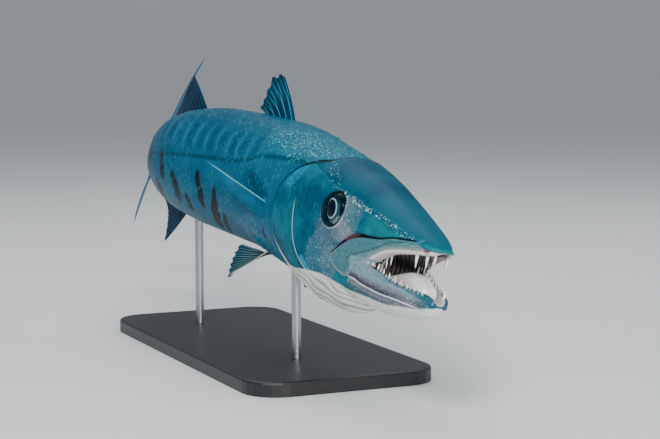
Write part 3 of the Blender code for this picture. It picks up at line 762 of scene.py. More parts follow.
def build_skin(detail, most):
    """The skin of head, jaw, trunk and tail stalk in one piece, with its relief."""
    skin = body_solid()
    for way in (-1, 1):
        combine(skin, lip_solid(way), "UNION")
    combine(skin, mouth_solid(), "DIFFERENCE")
    jaw = combine(jaw_solid(), mouth_solid(), "DIFFERENCE")
    combine(skin, jaw, "UNION")
    with_modifier(skin, "REMESH", mode="VOXEL", voxel_size=detail)
    with_modifier(skin, "SMOOTH", factor=0.5, iterations=4)
    mesh = skin.data
    points, normals = read_points(mesh), read_normals(mesh)
    move = relief(points, measure(points, normals))
    write_points(mesh, points + normals * move[:, None])
    group = skin.vertex_groups.new(name="plain")
    x = points[:, 0]
    for low, high, weight in ((-1, 0.34, 0.35), (0.34, 2, 1.0)):
        group.add(np.flatnonzero((x >= low) & (x < high)).tolist(), weight, "REPLACE")
    triangles = sum(len(p.vertices) - 2 for p in mesh.polygons)
    ratio = min(1.0, most / triangles)
    with_modifier(skin, "DECIMATE", ratio=ratio, vertex_group="plain", vertex_group_factor=1.0)
    skin.vertex_groups.clear()
    mesh = skin.data
    points, normals = read_points(mesh), read_normals(mesh)
    m = measure(points, normals)
    # Mask for the painted shade in the groove above the upper jaw
    dark = m["side"] * bump(m["groove"], 0.0011 + 0.0020 * bump(m["groove_along"] - 0.66, 0.26))
    store(mesh, "fish", points, "FLOAT_VECTOR")
    for name, three in (
        ("lines", (m["ahead"], m["maxilla"], m["jaw_line"])),
        ("folds", (dark, m["arc"], m["furrow"])),
        ("zones", (m["inside"], m["brow"], m["throat"])),
        ("edges", (m["lip"], m["cheek"], m["fold"])),
        ("parts", (m["jaw"], m["side"], m["side_line"])),
    ):
        store(mesh, name, np.stack(three, 1), "FLOAT_VECTOR")
    write_points(mesh, place(points))
    skin.name = mesh.name = "skin"
    return skin


# Scales
def scale_rows(pitch):
    """Places of the rows of scales, closer together where the body is slim."""
    xs, _, girths = ARC
    x, rows = 0.205, []
    while x < 1.008:
        rows.append(x)
        x += pitch * (np.interp(x, xs, girths) / girths.max()) ** 0.5
    return np.array(rows)


def build_scales(side, widest, across, grid=6):
    """One side's overlapping scales, each a small curved plate with its root sunk in the skin."""
    rows = scale_rows(widest)
    count = np.arange(across)
    x = np.repeat(rows, across)
    row = np.repeat(np.arange(len(rows)), across)
    share = (np.tile(count, len(rows)) + 0.5 * (row % 2) + 0.25) / across
    right = np.remainder(share, 1.0) < 0.5
    root = around(x, share)
    gill, way, _ = near_path(root[:, [0, 2]], GILL_EDGE)
    probe = near_path(np.array([[0.18, 0.0]]), GILL_EDGE)[1][0]
    ahead = gill * np.where(way == probe, 1, -1)
    keep = (right if side > 0 else ~right) & (ahead < -0.006)
    x, share = x[keep], share[keep]
    girth = np.interp(x, ARC[0], ARC[2])
    pitch = widest * (girth / ARC[2].max()) ** 0.5
    generator = np.random.default_rng(11 + side)
    wobble = generator.normal(0, 1, (4, len(x)))
    a = np.linspace(0, 1, grid)
    u, v = np.meshgrid(a, a * 2 - 1, indexing="ij")
    length = u * 1.75 - 0.20
    rounding = np.sqrt(np.clip(1 - (np.clip(u - 0.45, 0, 1) / 0.585) ** 2, 0, 1))
    width = v * 0.60 * rounding
    lift = 0.00010 + 0.00048 * u**1.6 - 0.00030 * (1 - u) - 0.00018 * v**2
    px = x[:, None, None] + length * pitch[:, None, None] * (1 + 0.03 * wobble[0][:, None, None])
    ps = (
        share[:, None, None] + width / across * (1 + 0.03 * wobble[1][:, None, None])
        + 0.02 * wobble[2][:, None, None] / across
    )
    height = lift * (1 + 0.15 * wobble[3][:, None, None]) - gill_step(px) - 0.0001
    points = around(px, ps, height)
    sizes = points.shape[:3]
    mesh = sheet_mesh("scales", points.reshape(sizes[0] * grid, grid, 3))
    bm = bmesh.new()
    bm.from_mesh(mesh)
    bm.verts.ensure_lookup_table()
    joints = [f for f in bm.faces if len({v.index // (grid * grid) for v in f.verts}) > 1]
    bmesh.ops.delete(bm, geom=joints, context="FACES_ONLY")
    bm.to_mesh(mesh)
    bm.free()
    return mesh, (x, share), (u, v)


def make_scales(side, name, widest, across):
    """The scales of one side, with the marks and the map that their finish reads."""
    mesh, (x, share), (u, v) = build_scales(side, widest, across)
    found = read_points(mesh)
    store(mesh, "fish", found, "FLOAT_VECTOR")
    size = u.size
    index = np.arange(len(found)) // size
    spot = np.arange(len(found)) % size
    store(mesh, "side_line", signed(found[:, [0, 2]], SIDE_LINE, (0.5, 0.08))[0])
    store(mesh, "scale", np.stack([u.ravel()[spot], v.ravel()[spot], index], 1), "FLOAT_VECTOR")
    layer = mesh.uv_layers.new(name="OFBake")
    places = np.stack([x[index] / 1.1, np.remainder(share[index], 1.0)], 1)
    places += 0.003 * np.stack([u.ravel()[spot] - 0.5, v.ravel()[spot] / 2], 1)
    loops = np.empty(len(mesh.loops), np.int32)
    mesh.loops.foreach_get("vertex_index", loops)
    layer.data.foreach_set("uv", places[loops].astype(np.float32).ravel())
    write_points(mesh, place(found))
    mesh.name = name
    return mesh_object(name, mesh)


# Eyes, teeth and tongue
def build_eye(side, name):
    r = np.concatenate([np.linspace(0.02, 0.90, 30), np.linspace(0.92, 1.0, 8)])
    a = np.linspace(-math.pi, math.pi, 65)[:-1]
    depth = EYE_DEPTH * np.sqrt(np.clip(1 - r**2, 0, 1)) - 0.0004
    grid = np.stack(np.broadcast_arrays(
        EYE[0] + EYE_RADIUS * r[:, None] * np.cos(a),
        side * (EYE_OUT - EYE_DEPTH + depth[:, None] + 0 * a),
        EYE[1] + EYE_RADIUS * r[:, None] * np.sin(a)), -1)
    mesh = sheet_mesh(name, grid, wrap=True, fill=True)
    store(mesh, "fish", read_points(mesh), "FLOAT_VECTOR")
    write_points(mesh, place(read_points(mesh)))
    return mesh_object(name, mesh)


def tooth(root, tip, radius, bend=(0, 0, 0), flat=0.75):
    """A curved, pointed tooth, flattened from side to side, its root sunk in the gum."""
    root, tip, bend = (np.array(p, float) for p in (root, tip, bend))
    along = tip - root
    t = np.concatenate([[-0.35, -0.10], np.linspace(0, 1, 9)])
    taper = np.sqrt(np.clip(1 - np.clip(t, 0, 1) ** 1.3, 0.004, 1)) * (1 - 0.35 * t)
    size = radius * np.where(t < 0, 1, taper)
    a = np.linspace(0, 2 * math.pi, 11)[:-1]
    ahead = np.array((1.0, 0, 0)) - along * (along[0] / (along @ along))
    ahead /= np.linalg.norm(ahead)
    across = np.cross(along / np.linalg.norm(along), ahead)
    middle = root + t[:, None] * along + (np.clip(t, 0, 1) ** 2)[:, None] * bend
    grid = middle[:, None] + size[:, None, None] * (
        np.cos(a)[None, :, None] * ahead + flat * np.sin(a)[None, :, None] * across)
    mesh = sheet_mesh("tooth", grid, wrap=True, fill=True)
    store(mesh, "along", np.repeat(t, len(a))[: len(mesh.vertices)])
    return mesh


def upper_teeth():
    teeth = []
    generator = np.random.default_rng(3)
    for side in (-1, 1):
        for x, y, length, radius in (
            (0.005, 0.0075, 0.0116, 0.0021), (0.013, 0.0125, 0.0138, 0.0025),
            (0.025, 0.0185, 0.0156, 0.0026),
        ):
            z = -0.0040 - 0.10 * x
            root, tip = (x, side * y, z), (x + 0.001, side * y * 0.96, z - length)
            teeth.append(tooth(root, tip, radius, (-0.0012, 0, 0)))
        for i in range(4):
            x = 0.066 + 0.0115 * i
            low = columns(BODY, x)[1]
            y = side * (side_at(x, low + 0.006) - 0.0045)
            length = (0.0092, 0.0084, 0.0074, 0.0056)[i]
            teeth.append(tooth((x, y, low + 0.0030), (x + 0.0005, y - side * 0.001, low - length), 0.0015))
        for i in range(16):
            x = 0.040 + 0.0050 * i
            low = columns(BODY, x)[1]
            y = side * (side_at(x, low + 0.006) - 0.0030)
            length = 0.0008 + 0.0008 * generator.random()
            teeth.append(tooth((x, y, low + 0.0026), (x + 0.0004, y, low - length), 0.0007))
    return join("teeth_upper", teeth)


def lower_teeth():
    teeth = []
    generator = np.random.default_rng(4)
    for side in (-1, 1):
        root, tip = (-0.0055, side * 0.0060, -0.0478), (-0.0070, side * 0.0058, -0.0360)
        teeth.append(tooth(root, tip, 0.0020, (0.0010, 0, 0)))
        for i in range(10):
            x = 0.005 + 0.0105 * i
            gum, _, half = columns(JAW, x)
            length = (
                (0.0036 + 0.0026 * math.sin(math.pi * i / 9)) * (0.62 if side > 0 else 1.0)
                + 0.0010 * generator.random()
            )
            y = side * (half - 0.0042)
            teeth.append(tooth((x, y, gum - 0.0010), (x - 0.0002, y, gum + length), 0.0014, (0.0006, 0, 0)))
        for i in range(18):
            x = 0.008 + 0.0058 * i
            gum, _, half = columns(JAW, x)
            y = side * (half - 0.0024)
            length = 0.0016 + 0.0010 * generator.random()
            teeth.append(tooth((x, y, gum - 0.0014), (x, y, gum + length * 0.6), 0.0006))
    return join("teeth_lower", teeth)


def build_tongue():
    x = np.concatenate([[0.0062], np.linspace(0.008, 0.138, 70)])
    a = np.linspace(-math.pi, math.pi, 65)[:-1]
    top, half = (column[:, None] for column in columns(TONGUE, x))
    tip = np.sqrt(np.clip((x - 0.006) / 0.010, 0.02, 1))[:, None]
    grid = superellipse(
        x[:, None], a[None], top - 0.0004, -0.078 + 0 * top, (half - 0.0004) * tip, -0.055 + 0 * top,
        (2.2, 3.0),
    )
    middle = np.exp(-((grid[:, :, 1] / 0.0022) ** 2)) * (grid[:, :, 2] > top - 0.01)
    grid[:, :, 2] -= 0.0012 * middle
    made = mesh_object("tongue_skin", sheet_mesh("tongue_skin", grid, wrap=True, fill=True))
    combine(made, mouth_solid(-0.0004), "INTERSECT")
    store(made.data, "fish", read_points(made.data), "FLOAT_VECTOR")
    write_points(made.data, place(read_points(made.data)))
    return made


# Fins
def blade(
    name, point, rays, root, ray, membrane, tip, fleshy=0.10, rows=40, steps=8, branch=True, across=None,
):
    """A fin: point(t, s) runs across the rays with t and along them with s. Sizes are half thicknesses."""
    t = np.linspace(0, 1, rays * steps + 1)[:, None] + np.zeros(rows)
    s = np.zeros((rays * steps + 1, 1)) + np.linspace(0, 1, rows) ** 0.9
    middle = point(t, s)
    fine = 0.5 + 0.5 * np.cos((t * rays - 0.5) * 2 * math.pi)
    ridge = fine**3
    if branch:
        split = 0.5 + 0.5 * np.cos((t * rays * 2 - 0.5) * 2 * math.pi)
        ridge = ridge * (1 - ease(0.35, 0.75, s)) + 0.7 * split**2 * ease(0.35, 0.75, s)
    joints = 1 - 0.12 * (np.sin(s * 90) > 0.7) * (s > 0.25)
    half = membrane + (tip - membrane) * s + (ray - membrane) * ridge * (1 - 0.75 * s) * joints
    half = half + (root - half) * np.clip(1 - s / fleshy, 0, 1) ** 1.5
    half = half * np.sqrt(np.clip((1 - s) / 0.03, 0.0, 1)) / LENGTH
    edge = np.sqrt(np.clip(np.minimum(t, 1 - t) * rays * 4, 0, 1))
    half = half * np.maximum(edge, 0.0)
    if across is None:
        across = np.array((0.0, 1.0, 0.0))
    right = middle + across * half[:, :, None]
    left = middle - across * half[:, :, None]
    ring = np.concatenate([right, left[::-1][1:-1], right[:1]])
    values = np.stack([t * rays, s, 0 * s], -1)
    marks = np.concatenate([values, values[::-1][1:-1], values[:1]])
    mesh = sheet_mesh(name, np.swapaxes(ring, 0, 1))
    store(mesh, "fish", np.swapaxes(ring, 0, 1).reshape(-1, 3), "FLOAT_VECTOR")
    store(mesh, "blade", np.swapaxes(marks, 0, 1).reshape(-1, 3), "FLOAT_VECTOR")
    weld(mesh)
    write_points(mesh, place(read_points(mesh)))
    return mesh_object(name, mesh)


def median_point(start, end, count, length, sweep, notch, below=False):
    way = -1 if below else 1

    def point(t, s):
        between = np.abs(np.sin((t * count - 0.5) * math.pi))
        x = start + (end - start) * t
        reach = length(t) * (1 - notch * between**2)
        top, bottom, _, _ = columns(BODY, x)
        lean = np.radians(sweep(t)) * (0.90 + 0.16 * s)
        z = (bottom if below else top) + way * (reach * s * np.cos(lean) - 0.0045 * (1 - s))
        return np.stack([x + reach * s * np.sin(lean), 0 * x, z], -1)

    return point


SPINES = ((0.0, 0.086, 46), (0.25, 0.086, 50), (0.5, 0.067, 59), (0.75, 0.046, 67), (1.0, 0.028, 73))


def first_dorsal():
    point = median_point(
        0.436, 0.522, 5, lambda t: columns(SPINES, t)[0], lambda t: columns(SPINES, t)[1], 0.07,
    )
    return blade("dorsal_first", point, 5, 0.0026, 0.0012, 0.0003, 0.0003, steps=14, branch=False)


def second_dorsal():
    point = median_point(
        0.690, 0.812, 10, lambda t: 0.056 + 0.044 * (1 - t) ** 1.2, lambda t: 59 + 20 * t, 0.04,
    )
    return blade("dorsal_second", point, 10, 0.0026, 0.0011, 0.0003, 0.0003)


def anal_fin():
    point = median_point(
        0.698, 0.785, 9, lambda t: 0.030 + 0.064 * (1 - t) ** 2.2, lambda t: 52 + 24 * t, 0.04, True,
    )
    return blade("anal", point, 9, 0.0026, 0.0011, 0.0003, 0.0003)


def caudal_lobe(name, side):
    def point(t, s):
        v = 1 - t
        reach = 0.070 + 0.150 * v**1.9 + 0.010 * np.maximum(0.0, 1 - v / 0.3) ** 2
        angle = math.radians(32) * v + math.radians(9) * v * (1 - s) ** 1.5
        height = 0.0001 * (1 - v) + 0.039 * v + reach * s * np.sin(angle)
        return np.stack([1.0 - 0.0045 * (1 - s) + reach * s * np.cos(angle), 0 * t, side * height], -1)

    return blade(name, point, 10, 0.0060, 0.0013, 0.0004, 0.0003, 0.16, rows=60)


def paired_fin(name, side, roots, tips, count, outline, sizes, fleshy):
    roots, tips = np.array(roots) * (1, side, 1), np.array(tips) * (1, side, 1)
    first, last = tips - roots
    across = np.cross(first, tips[1] + roots[1] - 2 * roots[0])
    across /= np.linalg.norm(across)
    first, last = first / np.linalg.norm(first), last / np.linalg.norm(last)
    spread = math.acos(float(first @ last))

    def point(t, s):
        root = roots[0] + (roots[1] - roots[0]) * t[..., None]
        way = (
            np.sin((1 - t) * spread)[..., None] * first + np.sin(t * spread)[..., None] * last
        ) / math.sin(spread)
        reach = outline(t) * (1 - 0.05 * np.abs(np.cos(t * count * math.pi)))
        bow = across * (0.003 * np.sin(s * math.pi) * np.sin(t * math.pi))[..., None]
        return root + way * (reach * s)[..., None] + bow

    return blade(name, point, count, *sizes, fleshy, across=across)


def pectoral(name, side):
    roots = (
        (0.3290, float(side_at(0.329, -0.009)) - 0.0045, -0.0090),
        (0.3260, float(side_at(0.326, -0.030)) - 0.0045, -0.0300),
    )
    return paired_fin(name, side, roots, ((0.466, 0.102, 0.022), (0.396, 0.082, -0.014)), 12,
                      lambda t: 0.070 + 0.086 * (1 - t) ** 0.9 * (1 - 0.08 * (1 - t) ** 8),
                      (0.0018, 0.0009, 0.0003, 0.0003), 0.08)


def pelvic(name, side):
    roots = ((0.3740, 0.0300, -0.0680), (0.3830, 0.0150, -0.0765))
    return paired_fin(name, side, roots, ((0.428, 0.056, -0.121), (0.460, 0.036, -0.077)), 6,
                      lambda t: 0.080 - 0.002 * t, (0.0020, 0.0011, 0.0003, 0.0004), 0.10)


# Materials
BLOTCHES = (
    (0.721, 0.0130, 0.697, -0.0270, 0.0120), (0.664, -0.0130, 0.655, -0.0300, 0.0100),
    (0.655, -0.0230, 0.645, -0.0470, 0.0150), (0.577, -0.0020, 0.571, -0.0240, 0.0100),
    (0.570, -0.0180, 0.560, -0.0430, 0.0130), (0.513, -0.0170, 0.517, -0.0450, 0.0120),
    (0.516, -0.0400, 0.530, -0.0620, 0.0190), (0.617, -0.0370, 0.611, -0.0530, 0.0100),
    (0.742, -0.0330, 0.714, -0.0540, 0.0170), (0.488, -0.0490, 0.500, -0.0650, 0.0100),
    (0.346, -0.0420, 0.341, -0.0520, 0.0055), (0.800, 0.0120, 0.790, -0.0200, 0.0110),
    (0.858, 0.0060, 0.850, -0.0180, 0.0100), (0.908, 0.0180, 0.902, -0.0040, 0.0080),
    (0.826, -0.0280, 0.816, -0.0400, 0.0080),
)


def patch(g, x, z, at, size, noise=None, turn=0.0):
    """1 inside an oval of this half length and half height and 0 outside, its edge broken up by noise."""
    c, s = math.cos(turn), math.sin(turn)
    dx, dz = x - at[0], z - at[1]
    along, across = (dx * c + dz * s) / size[0], (dz * c - dx * s) / size[1]
    away = along * along + across * across
    if noise:
        away = away + (noise - 0.5) * 1.6
    return g.ease(1.35, 0.55, away)


def markings(g, line):
    """The colour that skin and scales share, from the place on the straight fish and its side line."""
    fish = g.attribute("fish", True)
    x, y, z = g.split(fish)
    broad = g.noise(g.scaled(fish, 1.0, 1.0, 1.4), 20.0, 3.0, 0.6)
    fine = g.noise(g.scaled(fish, 1.0, 1.0, 1.6), 150.0, 4.0, 0.65)
    streak = g.noise(g.scaled(fish, 2.6, 1.0, 0.5), 120.0, 3.0, 0.6)
    colour = g.mix(g.ease(-0.030, 0.030, z), shade(6, 92, 124), tint("flank"))
    colour = g.mix(g.ease(0.045, 0.085, z), colour, tint("back"))
    nape = g.ease(0.60, 0.30, x) * g.ease(0.020, 0.060, z)
    colour = g.mix(nape * 0.7, colour, shade(2, 98, 122))
    colour = g.mix(g.ease(-0.052, -0.078, z) * 0.7, colour, shade(24, 104, 118))
    colour = g.mix(g.ease(0.58, 0.90, x) * 0.6, colour, shade(2, 58, 94))
    colour = g.mix(g.ease(0.45, 0.75, broad) * 0.30, colour, shade(14, 122, 150))
    colour = g.mix(g.ease(0.50, 0.28, broad) * 0.30, colour, shade(0, 62, 94))
    bow = ((z - 0.045) / 0.024) * ((z - 0.045) / 0.024)
    wave = ((x + bow * 0.0085 + (broad - 0.5) * 0.010) * (2 * math.pi / 0.0365)).sine()
    upper = (
        g.ease(0.024, 0.036, z) * g.ease(0.072, 0.054, z) * g.ease(0.365, 0.420, x)
        * g.ease(0.99, 0.90, x)
    )
    colour = g.mix(g.ease(-0.2, 0.8, wave) * upper * 0.42, colour, shade(0, 56, 88))
    colour = g.mix(g.ease(0.60, 1.0, -wave) * upper * (0.15 + streak * 0.6), colour, shade(26, 128, 180))
    dark = g.ease(0.0042, 0.0010, abs(line)) * g.ease(0.245, 0.270, x)
    colour = g.mix(dark * 0.62, colour, shade(0, 44, 68))
    # Painted glints: lighter cyan flecks where the flank's scales would catch the light
    painted_glint = g.ease(0.58, 0.72, fine) * g.ease(0.35, 0.6, streak)
    colour = g.mix(painted_glint * 0.35, colour, shade(60, 160, 186))
    # Painted sparkle: bright cyan-green dots of painted highlight on the nape
    spark = g.noise(fish, 330.0, 2.0, 0.6)
    painted_sparkle = g.ease(0.60, 0.65, spark) * patch(g, x, z, (0.310, 0.070), (0.085, 0.019), broad)
    # Dark patch above the root of the pectoral fin: partly the fish's dark axil, partly the fin's painted
    # shadow on the flank
    axil_and_fin_shadow = patch(g, x, z, (0.372, 0.010), (0.040, 0.008), streak, 0.28)
    colour = g.mix(axil_and_fin_shadow * 0.55, colour, shade(0, 44, 66))
    colour = g.mix(painted_sparkle * 0.85, colour, shade(110, 220, 200))
    for ax, az, bx, bz, radius in BLOTCHES:
        turn = math.atan2(bz - az, bx - ax)
        size = (math.hypot(bx - ax, bz - az) / 2 + 0.005, radius * 0.78)
        colour = g.mix(
            patch(g, x, z, ((ax + bx) / 2, (az + bz) / 2), size, streak, turn) * 0.97, colour,
            tint("blotch"),
        )
    return fish, broad, fine, streak, spark, colour


def skin_material():
    g = Graph("skin", ior=1.16, coat_weight=0.03, coat_roughness=0.2)
    jaw, side, side_line = g.split(g.attribute("parts", True))
    fish, broad, fine, streak, spark, colour = markings(g, side_line)
    x, y, z = g.split(fish)
    ahead, maxilla, jaw_line = g.split(g.attribute("lines", True))
    dark, arc, furrow = g.split(g.attribute("folds", True))
    inside, brow, throat = g.split(g.attribute("zones", True))
    lip, cheek, fold = g.split(g.attribute("edges", True))
    dx, dz = x - EYE[0], z - EYE[1]
    eye = (dx * dx + dz * dz).math("SQRT")
    head = g.ease(-0.0005, 0.0008, ahead)
    grain = g.noise(fish, 420.0, 3.0, 0.7)

    # Head: dark teal crown, greener snout, mottled cheek and gill cover
    crown = g.mix(g.ease(0.3, 0.7, broad), shade(0, 60, 88), shade(2, 84, 106))
    crown = g.mix(g.ease(0.16, 0.05, x) * 0.6, crown, shade(4, 98, 116))
    cheeks = g.mix(g.ease(0.3, 0.7, broad), shade(0, 72, 98), shade(6, 110, 130))
    cheeks = g.mix(g.ease(0.55, 0.72, streak) * 0.45, cheeks, shade(46, 140, 158))
    face = g.mix(g.ease(0.0015, -0.0040, brow), crown, cheeks)
    snout = g.ease(-0.002, -0.006, brow) * g.ease(0.128, 0.105, x) * g.ease(0.0, -0.002, maxilla)
    face = g.mix(snout * 0.9, face, g.mix(g.ease(0.3, 0.7, broad), shade(2, 104, 116), shade(10, 136, 136)))
    for at, size, turn, hue, amount in (
        ((0.157, 0.018), (0.006, 0.010), 0.5, (96, 112, 118), 0.80),
        ((0.147, 0.003), (0.013, 0.018), 0.6, (84, 118, 130), 0.70),
        ((0.150, -0.012), (0.020, 0.009), 0.4, (128, 132, 146), 0.85),
        ((0.178, -0.022), (0.022, 0.014), 0.8, (80, 96, 116), 0.75),
        ((0.196, -0.044), (0.015, 0.020), 0.2, (64, 110, 132), 0.60),
        ((0.172, -0.048), (0.010, 0.016), 0.1, (92, 126, 138), 0.60),
    ):
        away = (
            patch(g, x, z, at, (size[0] * 1.5, size[1] * 1.5), fine, turn)
            * g.ease(0.30, 0.62, broad + grain * 0.4 - 0.15)
        )
        face = g.mix(away * amount, face, shade(*hue))
        # Painted glints: pale sparkles on the silvery patches
        face = g.mix(away * g.ease(0.61, 0.66, spark) * 0.6, face, shade(180, 204, 210))
    face = g.mix(
        patch(g, x, z, (0.222, -0.062), (0.015, 0.0050), fine, 0.75) * g.ease(0.3, 0.6, grain) * 0.9, face,
        shade(22, 160, 196),
    )
    face = g.mix(
        patch(g, x, z, (0.278, 0.036), (0.020, 0.010), fine, -0.9) * g.ease(0.35, 0.65, grain) * 0.8, face,
        shade(22, 150, 196),
    )
    dotted = (
        g.ease(0.0042, 0.0006, abs(brow + (broad - 0.5) * 0.006)) * g.ease(0.54, 0.60, spark)
        * g.ease(0.35, 0.60, streak)
    )
    face = g.mix(dotted * g.ease(0.010, 0.05, x), face, shade(176, 224, 226))
    # Painted highlight: a streak of bright sparkles on the top of the head behind the eye
    painted_gleam = g.ease(0.60, 0.65, spark) * patch(g, x, z, (0.214, 0.049), (0.034, 0.007), streak, 0.45)
    face = g.mix(painted_gleam * 0.7, face, shade(130, 220, 214))
    line = (
        g.ease(0.0011, 0.0003, abs(cheek + 0.0004)) * g.ease(0.014, -0.006, z)
        * g.ease(0.2, 0.5, streak + 0.15)
    )
    face = g.mix(line * side * 0.85, face, shade(196, 214, 216))
    face = g.mix(
        g.ease(0.0, 0.0022, cheek) * g.ease(0.0060, 0.0022, cheek) * side * g.ease(0.02, 0.0, z) * 0.30,
        face, shade(0, 52, 76),
    )
    # Painted shade: a dark ring on the skin that slopes down into the eye socket
    ring = g.ease(0.0222, 0.0212, eye)
    crescent = g.ease(0.0240, 0.0228, eye) * g.ease(0.0212, 0.0220, eye) * g.ease(0.002, -0.010, dz)
    face = g.mix(crescent * g.ease(0.3, 0.6, grain) * 0.8, face, shade(160, 184, 186))
    face = g.mix(ring, face, shade(4, 34, 48))
    colour = g.mix(head, colour, face)

    # Painted shadow in the crease behind the gill cover and on its upper rim, and the pale rim of the gill
    # cover
    crease_shadow = g.ease(-0.0036, -0.0016, ahead) * g.ease(0.0016, 0.0002, ahead) * g.ease(0.200, 0.225, x)
    colour = g.mix(crease_shadow * g.ease(-0.060, -0.010, z) * 0.92, colour, shade(0, 18, 30))
    # Painted shadow of the gap behind the cover, drawn on the cover's upper rim
    upper = (
        g.ease(0.0034, 0.0018, ahead) * g.ease(-0.0024, -0.0008, ahead) * g.ease(-0.028, -0.002, z)
        * g.ease(0.200, 0.225, x)
    )
    colour = g.mix(upper * 0.9, colour, shade(0, 20, 32))
    wide = 0.0012 + g.ease(-0.030, -0.075, z) * 0.0055
    rim = g.ease(-0.0002, 0.0003, ahead) * g.ease(0.0, -0.0012, ahead - wide) * g.ease(0.150, 0.180, x)
    colour = g.mix(rim * g.ease(0.010, -0.020, z) * 0.30, colour, shade(60, 150, 176))
    colour = g.mix(rim * g.ease(-0.018, -0.034, z), colour, shade(214, 222, 220))

    # Upper jaw and its fold
    lipside = g.ease(0.0, 0.0010, maxilla) * side
    band = g.mix(g.ease(0.14, 0.04, x), shade(78, 126, 136), shade(70, 122, 130))
    grooved = g.noise(g.vector(lip * 5.0, x * 0.5, y * 0.5), 190.0, 3.0, 0.6)
    band = g.mix(g.ease(0.45, 0.70, grooved) * 0.55, band, shade(142, 152, 146))
    band = g.mix(g.ease(0.48, 0.28, grooved) * 0.45, band, shade(24, 84, 98))
    band = g.mix(g.ease(0.0045, 0.0015, lip) * 0.7, band, shade(150, 156, 156))
    band = g.mix(g.ease(0.001, -0.001, arc) * g.ease(0.004, 0.010, lip) * 0.5, band, shade(30, 104, 120))
    band = g.mix(g.ease(0.0014, 0.0004, abs(arc)) * 0.7, band, shade(34, 66, 74))
    band = g.mix(g.ease(0.124, 0.140, x) * g.ease(0.006, 0.0, maxilla) * 0.7, band, shade(172, 166, 170))
    band = g.mix(g.ease(0.54, 0.68, grain) * 0.4, band, shade(158, 178, 176))
    colour = g.mix(lipside, colour, band)
    edge = (
        g.ease(0.0012, 0.0000, lip) * g.ease(-0.0100, -0.0070, lip) * g.ease(0.1285, 0.1250, x)
        * (1.0 - jaw)
    )
    colour = g.mix(
        edge, colour, g.mix(g.ease(0.0, -0.0050, lip) * 0.8, shade(226, 214, 212), shade(158, 146, 150)),
    )
    # Painted shade in the deep groove above the upper jaw, reddish in its middle
    shaded_groove = g.mix(
        patch(g, x, z, (0.134, -0.0105), (0.014, 0.004), fine, -0.5), shade(4, 18, 26), shade(86, 56, 64),
    )
    colour = g.mix(g.ease(0.25, 0.62, dark), colour, shaded_groove)
    colour = g.mix(
        patch(g, x, z, (0.0100, -0.0010), (0.0032, 0.0024), grain) * g.ease(0.0, 0.02, y) * 0.85, colour,
        shade(104, 52, 44),
    )

    # Lower jaw
    grooved = g.noise(g.vector(jaw_line * 5.0, x * 0.5, y * 0.5), 170.0, 3.0, 0.6)
    low = g.mix(g.ease(0.3, 0.7, grooved), shade(128, 124, 136), shade(84, 98, 112))
    # The rounded roll above the furrow: teal, painted lighter as a highlight where it bulges
    roll = g.mix(g.ease(0.3, 0.7, grooved), shade(92, 134, 146), shade(138, 160, 168))
    roll = g.mix(g.ease(0.090, 0.040, x) * g.ease(0.0060, 0.0090, furrow) * 0.8, roll, shade(28, 100, 124))
    roll = g.mix(g.ease(0.085, 0.045, x) * g.ease(0.0060, 0.0020, furrow) * 0.8, roll, shade(124, 120, 128))
    low = g.mix(g.ease(-0.0006, 0.0022, furrow), low, roll)
    # Dark mauve band down in the furrow above the white jaw line, deepened with painted shade
    low = g.mix(
        g.ease(0.0072, 0.0016, jaw_line) * g.ease(0.0, 0.0008, jaw_line) * g.ease(0.01, 0.06, x) * 0.85,
        low, shade(36, 44, 58),
    )
    low = g.mix(
        g.ease(-0.0055, -0.0080, jaw_line) * g.ease(0.010, 0.035, x) * 0.85, low, shade(34, 88, 104),
    )
    low = g.mix(
        g.ease(0.0012, 0.0004, abs(jaw_line)) * g.ease(0.22, 0.42, grain), low, shade(214, 218, 222),
    )
    low = g.mix(g.ease(0.016, -0.004, x) * 0.8, low, shade(20, 76, 92))
    # Painted glints: pale sparkles on the lower jaw
    low = g.mix(g.ease(0.60, 0.66, spark) * 0.6, low, shade(176, 188, 192))
    colour = g.mix(jaw, colour, low)

    # Throat
    pale = g.mix(g.ease(0.35, 0.7, broad), tint("throat"), shade(204, 214, 210))
    # Painted shade in the grooves between the throat's folds
    pale = g.mix(g.ease(0.35, 0.95, fold) * 0.75, pale, shade(112, 126, 126))
    pale = g.mix(g.ease(0.60, 0.72, grain) * 0.25, pale, shade(120, 160, 170))
    colour = g.mix(g.ease(-0.0004, 0.0016, throat + (grain - 0.5) * 0.004) * head, colour, pale)

    # Inside of the mouth
    wall = g.mix(g.ease(0.35, 0.65, streak), shade(62, 56, 70), shade(138, 126, 138))
    wall = g.mix(g.ease(0.10, 0.05, x) * g.ease(-0.050, -0.010, z) * 0.5, wall, shade(112, 104, 114))
    wall = g.mix(g.ease(-0.034, -0.046, z), wall, shade(206, 196, 196))
    wall = g.mix(g.ease(0.020, 0.025, abs(y)) * g.ease(-0.034, -0.022, z) * 0.8, wall, shade(196, 194, 198))
    colour = g.mix(inside, colour, wall)

    rough = 0.40 + fine * 0.18 - inside * 0.14
    normal = g.bump(g.cells(fish, 300.0) * 0.5 + fine * 1.1, 0.0006, 0.5)
    normal = g.bump(grain, 0.0003, 0.4, normal)
    shine = (1.0 - inside) * g.ease(0.006, -0.002, throat) * (0.02 + glossy(g, fine, streak) * 0.6)
    g.set(base_color=colour, roughness=rough, metallic=shine, normal=normal)
    return g.material


def glossy(g, fine, streak):
    """Extra sheen of the silvery flecks."""
    return g.ease(0.45, 0.70, fine) * g.ease(0.30, 0.70, streak) * 0.35


